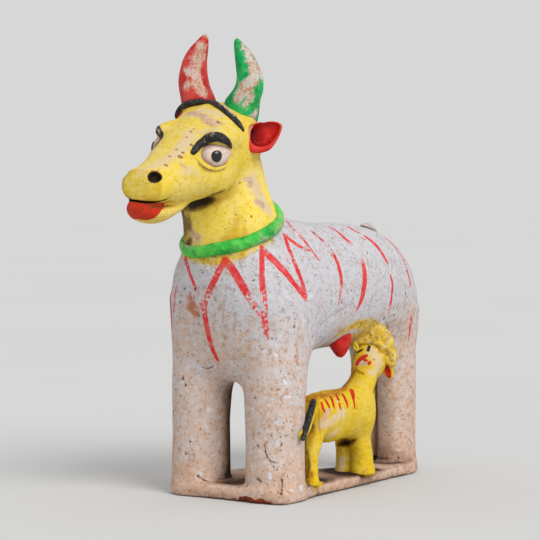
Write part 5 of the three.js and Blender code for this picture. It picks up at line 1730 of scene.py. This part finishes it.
# brows
BROW = [(193.4, 152.4, 2.9), (197, 148, 3.6), (201, 144, 4.2), (208.4, 139.2, 5.0), (216.7, 137.4, 5.0), (224.4, 140.0, 4.0), (228.5, 143.6, 2.6), (231, 147.6, 1.3)]
path, rad, N = coil_on(BROW, cow_skin, 0.35, step=0.7)
worn_brow = lambda P, N=None: np.clip(NA(P, 9, 3.3) * 0.5, 0, 1)
tube("left_eyebrow", path, rad, ["left_eyebrow"], BLACK_M, normals=N, flat=0.78, seed=2.2, attrs={"worn": worn_brow})
MB = mirror_head(path[::2].astype(F))
S = settle(along(MB, 0.7).astype(F), cow_skin)
N = normals_at(cow_skin, S, 1.5)
rr = np.interp(np.linspace(0, 1, len(S)), np.linspace(0, 1, len(rad)), rad)
tube("right_eyebrow", S - N * (rr * 0.28)[:, None], rr * 0.82, ["right_eyebrow"], BLACK_M, normals=N, flat=0.50, seed=4.2, attrs={"worn": worn_brow})

# lower lids: a thin roll pressed up against each eyeball
LID = [(197, 158.6, 1.0), (201.5, 163.4, 1.5), (208, 167.4, 1.8), (216, 169, 1.8), (224, 166.4, 1.6), (229, 162, 1.0)]
path, rad, N = coil_on(LID, cow_skin, 0.35, step=0.7)
# cav: painted shade where the lids press against the face
lid_attr = {"cav": lambda P, N=None: np.clip(0.5 - face_f(P) * 0.5, 0, 1) * 0.4, "red": lambda P, N=None: np.full(len(P), 60, F), "blk": lambda P, N=None: np.full(len(P), 60, F)}
tube("left_lower_eyelid", path, rad, ["left_lower_eyelid"], YEL, normals=N, flat=0.9, seed=6.1, lump=0.1, attrs=lid_attr)
MB = mirror_head(path[::2].astype(F))
S = settle(along(MB, 0.7).astype(F), cow_skin)
N = normals_at(cow_skin, S, 1.5)
rr = np.interp(np.linspace(0, 1, len(S)), np.linspace(0, 1, len(rad)), rad)
tube("right_lower_eyelid", S + N * (rr * 0.25)[:, None], rr, ["right_lower_eyelid"], YEL, normals=N, flat=0.9, seed=7.1, lump=0.1, attrs=lid_attr)

# forelock: a black band of clay over the brow, below the horns
LOCK = [(184, 105.4, 2.9), (192, 102.8, 3.1), (202, 101.9, 3.2), (210, 103, 3.3), (218, 106.4, 3.5), (226, 112, 3.7), (233, 118.4, 3.5), (239, 125.4, 2.8), (242.8, 130.4, 1.5)]


def brow_ground(P):
    return np.minimum(cow_skin(P), np.minimum(horn_l_f(P), horn_r_f(P)))


_t = np.linalg.norm(strike([LOCK[0][:2]], brow_ground)[0][0] - CAM_POS)
_far = [np.append(CAM_POS + sight([q])[0] * (_t + g), r).tolist() for q, g, r in (((176.0, 116.0), 4.0, 1.3), ((178.0, 111.0), 2.2, 1.8), ((181.2, 107.2), 0.5, 2.0))]
path, rad, N = coil_on(LOCK, brow_ground, 0.30, step=0.8)
D = along(np.vstack([np.array(_far), np.column_stack([path, rad])[3:]]), 0.8)
path, rad = D[:, :3], D[:, 3]
N = normals_at(brow_ground, path.astype(F), 2.0)
lock_bare = Paint()
lock_bare.strokes([[(221, 105.5, 3.6), (227, 109.5, 4.6), (233, 114.5, 4.6), (238, 120.5, 3.4)]], brow_ground)
tube("forelock", path, rad, ["forelock"], BLACK_M, normals=N, flat=0.8, seed=9.3, attrs={
    "worn": lambda P, N=None: np.clip(0.62 - lock_bare(P) / 3.0, 0, 1)})

# collar: a rolled coil round the foot of the neck
ang = np.linspace(0, 2 * math.pi, 72, endpoint=False)
ey = np.array([0, math.cos(math.radians(23)), math.sin(math.radians(23))])
ring = []
for a in ang:
    d = math.cos(a) * np.array([1.0, 0, 0]) + math.sin(a) * ey
    r = np.linspace(20, 48, 57)
    f = cow_skin((COLLAR_C + np.outer(r, d)).astype(F))
    k = np.argmax(f > 0)
    r0 = r[k - 1] + (r[k] - r[k - 1]) * (-f[k - 1]) / (f[k] - f[k - 1])
    ring.append(r0)
ring = np.array(ring)
for _ in range(6):
    ring = 0.5 * ring + 0.25 * (np.roll(ring, 1) + np.roll(ring, -1))
ring = np.minimum(ring, 33.0) - 1.8 * np.clip(-(np.cos(ang) * ASIDE[0] + np.sin(ang) * ASIDE[1]) * 1.6 - 0.5, 0, 1)
cpath = np.array([COLLAR_C + 1.2 * COLLAR_N + (r0 + 0.7) * (math.cos(a) * np.array([1.0, 0, 0]) + math.sin(a) * ey) for a, r0 in zip(ang, ring)])
across = (cpath - COLLAR_C) @ ASIDE / 33.0
behind = np.clip(-((cpath - COLLAR_C) @ TOWARD) + 2.0, 0, None) * np.clip(across * 1.2 + 0.5, 0, 1)
cpath[:, 2] += 0.5 - 5.2 * np.clip(-across - 0.25, 0, 1) - 1.6 * np.clip(across, 0, 1) + 0.24 * behind       # it sits higher on the nape
cpath = along(np.hstack([cpath, np.zeros((72, 1))]), 1.0, closed=True)[:, :3]
out = cpath - COLLAR_C
out /= np.linalg.norm(out, axis=1, keepdims=True)
collar_worn = Paint()
collar_worn.strokes([[(184, 246, 3), (192, 245, 3.5)], [(258, 240, 3), (268, 233, 4.5), (277, 226, 5), (281, 218, 4.5)], [(208, 246, 1.5), (236, 245, 1.8), (250, 242, 2)]], cow_skin)
collar_worn.points([(-33, -78, 172, 4), (-30, -64, 182, 5)], None)
collar_worn.points([(16, -54, 190, 4), (-8, -52, 191, 5)], None)
tube("collar", cpath, 4.2 + 0.25 * NA(cpath.astype(F), 17, 2.0), ["collar"], GREEN_M, sides=28, closed=True, flat=0.80, normals=out, seed=3.7, lump=0.3,
     # cav: painted shade where the collar lies against the neck
     attrs={"worn": soft(collar_worn, 8.0), "cav": lambda P, N=None: np.clip(0.8 - np.abs(cow_skin(P)) * 0.5, 0, 1)})

# =====================================================================================
# tail and teat
# =====================================================================================

TAIL = [(5.0, 62, 172, 3.0), (4.2, 67, 171, 4.4), (2.4, 74, 169, 4.4), (-1.0, 85, 162.5, 4.0), (-2.4, 96, 153, 4.0), (-1.0, 105, 138, 4.0), (2.4, 109, 118, 3.9),
        (5.2, 109, 100, 3.8), (5.2, 105, 86, 4.2), (5.2, 103.5, 76, 4.6), (5.2, 103, 69.5, 3.0)]
D = along(TAIL, 1.2)
S = settle(D[:, :3].astype(F), cow_skin)
N = normals_at(cow_skin, S, 2.0)
tube("tail", S + N * (D[:, 3] * 0.40)[:, None], D[:, 3], ["tail"], SLIP, normals=N, flat=0.85, seed=5.5, lump=0.3, attrs={
    "slip": lambda P, N=None: np.interp(P[:, 2], [60, 90, 165, 172], [0.1, 0.4, 0.7, 0.7]), "chip": zero, "stain": far, "white": zero,
    "red": lambda P, N=None: np.full(len(P), 60, F), "yel": lambda P, N=None: np.full(len(P), 60, F),
    # cav: painted shade where the tail lies on the rump, darker low down and at its root
    "cav": lambda P, N=None: np.clip(0.75 - np.abs(cow_skin(P)) * 0.35, 0, 1) * 0.9 + 0.25 * (P[:, 2] < 78) + 0.24 * np.clip((P[:, 2] - 160) / 8, 0, 1)})

teat_axis = -0.97 * np.array([0, 0, 1.0]) + 0.10 * ASIDE - 0.10 * TOWARD
teat_axis /= np.linalg.norm(teat_axis)
TEAT_TOP = strike([(339.2, 340)], cow_skin)[0][0].astype(float) - teat_axis * 3.0 - TOWARD * 4.6


def teat_f(P):
    q = P - TEAT_TOP.astype(F)
    t = q @ teat_axis.astype(F)
    r = np.linalg.norm(q - t[:, None] * teat_axis.astype(F), axis=1)
    w = np.interp(t, [-2, 0, 4, 8, 11.5, 14, 15.4], [8.4, 8.4, 8.0, 6.6, 4.6, 2.8, 1.2]).astype(F)
    f = smax(smax((r - w) * F(0.88), t - F(15.7), 2.0), -t - F(1.5), 1.0)
    return f + F(0.22) * NB(P, 6, 1.4) + F(0.12) * NC(P, 3, 2.2)


V, Q = polygonise(teat_f, TEAT_TOP - np.array([13, 13, 21]), TEAT_TOP + np.array([13, 13, 6]), 0.5 * COARSE)
# cav: painted shade where the teat meets the belly
add_piece("v_teat", V, Q, RED_M, teat_f, {"worn": zero, "cav": lambda P, N: np.clip(0.7 - np.abs(cow_skin(P)) * 0.3, 0, 1)}, ["teat"], smooth_h=0.35)

# =====================================================================================
# calf
# =====================================================================================

V, Q = polygonise(calf_skin, (8, -80, 4), (62, 60, 106), 0.6 * COARSE)
CNECK_P, CNECK_N = from_calf((0, 22, 60)), np.array([0, 0.42, 0.907])
CHEAD_P, CHEAD_N = from_calf((0, 34, 75.5)), np.array([0.1, 0.25, 0.963])
CLEG_CUT, CFOOT = 33.0, BASE_T - 0.9


def calf_label(c):
    q = to_calf(c.astype(F))
    y, z = c[:, 1], c[:, 2]
    leg, front = z < CLEG_CUT, q[:, 1] > -8
    return np.select(
        [leg & front & (q[:, 0] > -3.5), leg & front, leg & (q[:, 0] > 0), leg,
         (side(c, CHEAD_P, CHEAD_N) > 0) & (y > 4), (side(c, CNECK_P, CNECK_N) > 0) & (y > -12)],
        ["calf_front_right_leg", "calf_front_left_leg", "calf_hind_right_leg", "calf_hind_left_leg", "calf_head", "calf_neck"], "calf_trunk")


parts = cut_skin(V, Q, [
    ((0, 0, CLEG_CUT), (0, 0, 1), lambda c: c[:, 0] < 1e6),
    (CHEAD_P, CHEAD_N, lambda c: c[:, 1] > 4),
    (CNECK_P, CNECK_N, lambda c: c[:, 1] > -12),
], calf_label)
calf_red, calf_blk, calf_scuff, calf_worn, calf_brn, calf_wht, calf_shadow_grime = [Paint() for _ in range(7)]
calf_red.strokes([[(x, y, r * 1.3 + 0.15) for x, y, r in run] for run in [
    [(321.6, 403, 1.2), (323, 408, 1.5), (324.6, 411.5, 0.8)], [(325, 399.5, 1.1), (327.6, 403.5, 1.5), (329.6, 407.8, 0.8)], [(330.6, 396.8, 1.0), (332.4, 401, 1.5), (334.4, 408.5, 0.7)],
    [(336.4, 395, 1.0), (338.4, 399.5, 1.2)], [(339.2, 403.5, 1.0), (340.8, 409.5, 0.7)], [(342.6, 394, 1.2), (345.6, 400, 2.0), (347.8, 407, 0.8)],
    [(351.6, 390, 2.0), (352.4, 393.5, 2.4), (353.6, 400, 1.4), (354.8, 408, 0.8)],
    [(356.4, 364.5, 1.3), (359.4, 359.8, 1.9), (362.6, 357.6, 2.0), (366.4, 355.6, 1.3)], [(369, 363.6, 1.3), (369.8, 362.6, 1.2)], [(364, 360, 0.9), (366.5, 360.5, 0.9)]]], calf_skin)
calf_blk.strokes([[(357.6, 352.6, 1.2), (359.8, 351.2, 1.6), (362.2, 349.6, 1.1)], [(368.2, 350.2, 1.7), (369.2, 346.4, 1.8)], [(354.2, 347, 0.8), (356.4, 344.2, 0.8)]], calf_skin)
calf_scuff.strokes([[(323, 420, 1.6), (325.5, 413, 2.4), (330, 409.5, 3.0)], [(322, 424, 1.2), (323, 426, 1.2)], [(358.5, 362.5, 1.5), (363, 364, 2.6), (367, 362, 1.6)]], calf_skin)
calf_worn.strokes([[(324, 425, 4), (333, 420, 5), (342, 414, 4)], [(330, 436, 3), (338, 430, 3)], [(359, 364, 2), (366, 363.5, 2)], [(371, 350, 4), (376, 358, 6), (378, 367, 5), (372, 372, 4)], [(340, 478, 1.5), (342, 460, 2.0)]], calf_skin)
calf_wht.strokes([[(337.6, 400.4, 1.1), (338.6, 402.4, 1.2)], [(343.4, 409, 1.5), (344.4, 414, 1.9), (343.6, 417.6, 1.2)], [(333.8, 414.5, 1.0), (335, 417.5, 1.2)], [(359.6, 362.6, 1.0), (362, 362, 1.0)], [(341.6, 460, 1.2), (341, 464, 1.0)]], calf_skin)
calf_brn.strokes([[(308, 401, 4.0), (318, 396, 4.6), (330, 394, 4.8), (340, 390, 4.6), (347, 383, 4.2), (352.5, 375, 3.2), (355, 369, 2.0)], [(312, 473, 1.2), (308, 482, 2.0)], [(366, 470, 0.8), (362, 474, 1.4)]], calf_skin)
# painted shadow with grime round the calf's head, under its belly and by its feet
calf_shadow_grime.strokes([[(356.5, 370, 0.3), (359.5, 372.5, 0.4), (363, 373.5, 0.3)], [(377, 381, 0.8), (373.5, 392, 0.8)], [(338, 445, 1.2), (347, 443, 1.6), (354, 440, 0.6)],
                   [(307, 452, 0.5), (309, 466, 0.9), (307, 478, 0.7)], [(315, 487, 0.6), (318, 489, 0.6)]], calf_skin)
for _z, _y in ((340, 0), (352, 3), (365, 5)):
    # the same stripes down the far side
    calf_red.points([from_calf((-8.5, _y - 22.0, 64)).tolist() + [0.9], from_calf((-12.6, _y - 20.0, 55)).tolist() + [1.1], from_calf((-13.2, _y - 19.0, 48)).tolist() + [0.5]], calf_skin)
# cav: painted shade in the calf's creases and where it touches the cow
calf_attrs = {"cav": lambda P, N: 0.72 * hollowness(calf_skin, P, N) + 0.2 * np.clip(0.8 - np.abs(cow_skin(P)) * 0.4, 0, 1), "red": calf_red, "blk": calf_blk, "scuff": soft(calf_scuff, 3.0),
              "worn": soft(calf_worn, 10.0), "brown": calf_brn, "white": soft(calf_wht, 1.2), "dark_shade_soil": soft(calf_shadow_grime, 6.5)}
for name, (v, f) in parts.items():
    add_piece("v_" + name, v, f, CALF, calf_skin, calf_attrs, [name], smooth_h=0.4)

# ears: small leaves, the near one hanging and edged in red
for name, px_c, size, lean, at, edge in (
        ("calf_left_ear", (387, 366.6), (3.2, 3.8, 8.8), 19, from_calf((5.0, 46.0, 79)), [(383.4, 358.5, 2.0), (385.4, 364, 2.8), (388.0, 371, 3.4), (389, 376.5, 2.4)]),
        ("calf_right_ear", (355.8, 346.6), (2.0, 1.9, 3.6), 22, from_calf((5.0, 35.0, 88)), None)):
    d = sight([px_c])[0]
    c = CAM_POS + d * ((np.asarray(at) - CAM_POS) @ d)
    a = math.radians(lean)
    e_long = math.cos(a) * np.array([0, 0, 1.0]) - math.sin(a) * ASIDE
    e_out = ASIDE * math.cos(a) + math.sin(a) * np.array([0, 0, 1.0])
    R = np.stack([TOWARD, e_out, e_long]).astype(F)

    def leaf(P, c=c, R=R, size=size):
        q = (P - c.astype(F)) @ R.T
        f = ball(q, (0, 0, 0), size)
        f = smax(f, -ball(q, (size[0] * 1.1, -size[1] * 0.2, 0), (size[0] * 0.7, size[1] * 0.5, size[2] * 0.7)), 0.8)
        return f + F(0.16) * NC(P, 4, 3.1)

    V, Q = polygonise(leaf, c - 12, c + 12, 0.42 * COARSE)
    ear_red = Paint()
    if edge:
        ear_red.stroke(edge, leaf)
    # cav: painted shade where the ear meets the head
    add_piece("v_" + name, V, Q, CALF, leaf, {"worn": zero, "cav": lambda P, N: np.clip(0.5 - np.abs(calf_skin(P)) * 0.4, 0, 1), "red": ear_red,
                                              "blk": far, "brown": far}, [name], smooth_h=0.35)

# tail: a flat black roll from the calf's rump to the cow's leg
TAIL_PX = [(313.4, 401.5, 3.2), (311.4, 409, 3.5), (308.6, 419, 3.5), (305.6, 429, 3.2), (303, 438.5, 2.7)]
_hit = np.vstack([strike(np.array(TAIL_PX)[:1, :2], calf_skin)[0], strike([(299.5, 436)], cow_skin)[0]]).astype(float)
_t = np.linalg.norm(_hit - CAM_POS, axis=1) + np.array([-1.8, -3.6])
_k = np.linspace(0, 1, len(TAIL_PX))
_free = CAM_POS + sight(np.array(TAIL_PX)[:, :2]) * (_t[0] + (_t[1] - _t[0]) * _k)[:, None]
D = along(np.hstack([_free, np.array(TAIL_PX)[:, 2:] / PX]), 0.8)
tube("calf_tail", D[:, :3], D[:, 3], ["calf_tail"], BLACK_M, normals=np.tile(TOWARD, (len(D), 1)), flat=0.85, seed=8.8, attrs={"worn": lambda P, N=None: np.full(len(P), 0.10, F)})

# =====================================================================================
# floor, light, camera
# =====================================================================================

bm = bmesh.new()
bmesh.ops.create_grid(bm, x_segments=2, y_segments=2, size=9.0)
floor_me = bpy.data.meshes.new("floor")
bm.to_mesh(floor_me)
bm.free()
floor = bpy.data.objects.new("floor", floor_me)
floor.location = (0, 0, -0.0004)
bpy.context.scene.collection.objects.link(floor)
fm = Mat("floor_pale")
floor_me.materials.append(fm.finish(fm.mix(fm.step(fm.noise(400, 2), 0.3, 0.7), (0.640, 0.640, 0.640, 1), (0.630, 0.630, 0.630, 1)), 0.95, None, 0.0))

world = bpy.data.worlds.new("studio")
bpy.context.scene.world = world
world.use_nodes = True
bg = world.node_tree.nodes["Background"]
# an even white studio
bg.inputs[0].default_value = (0.68, 0.68, 0.68, 1)
bg.inputs[1].default_value = 1.0


def sun(name, towards, power, angle, color=(1, 1, 1)):
    """A broad, even light from one direction."""
    L = bpy.data.lights.new(name, "SUN")
    L.energy, L.angle, L.color = power, math.radians(angle), color
    o = bpy.data.objects.new(name, L)
    o.rotation_mode = "QUATERNION"
    o.rotation_quaternion = (-Vector(towards)).to_track_quat("-Z", "Y")
    bpy.context.scene.collection.objects.link(o)


sun("key", 0.44 * ASIDE + 0.64 * TOWARD + np.array([0, 0, 0.63]), 0.62 * math.pi, 34, (1.0, 0.99, 0.975))

cam_data = bpy.data.cameras.new("camera")
cam_data.sensor_fit, cam_data.sensor_width = "AUTO", 36.0
cam_data.lens = CAM_F / 540.0 * 36.0
cam_data.clip_start, cam_data.clip_end = 0.05, 30.0
cam = bpy.data.objects.new("camera", cam_data)
rot = Matrix((CAM_RIGHT, CAM_UP, -CAM_FW)).transposed()
cam.matrix_world = Matrix.Translation(Vector(CAM_POS * 0.001)) @ rot.to_4x4()
bpy.context.scene.collection.objects.link(cam)
bpy.context.scene.camera = cam
bpy.context.scene.view_settings.view_transform = "Standard"
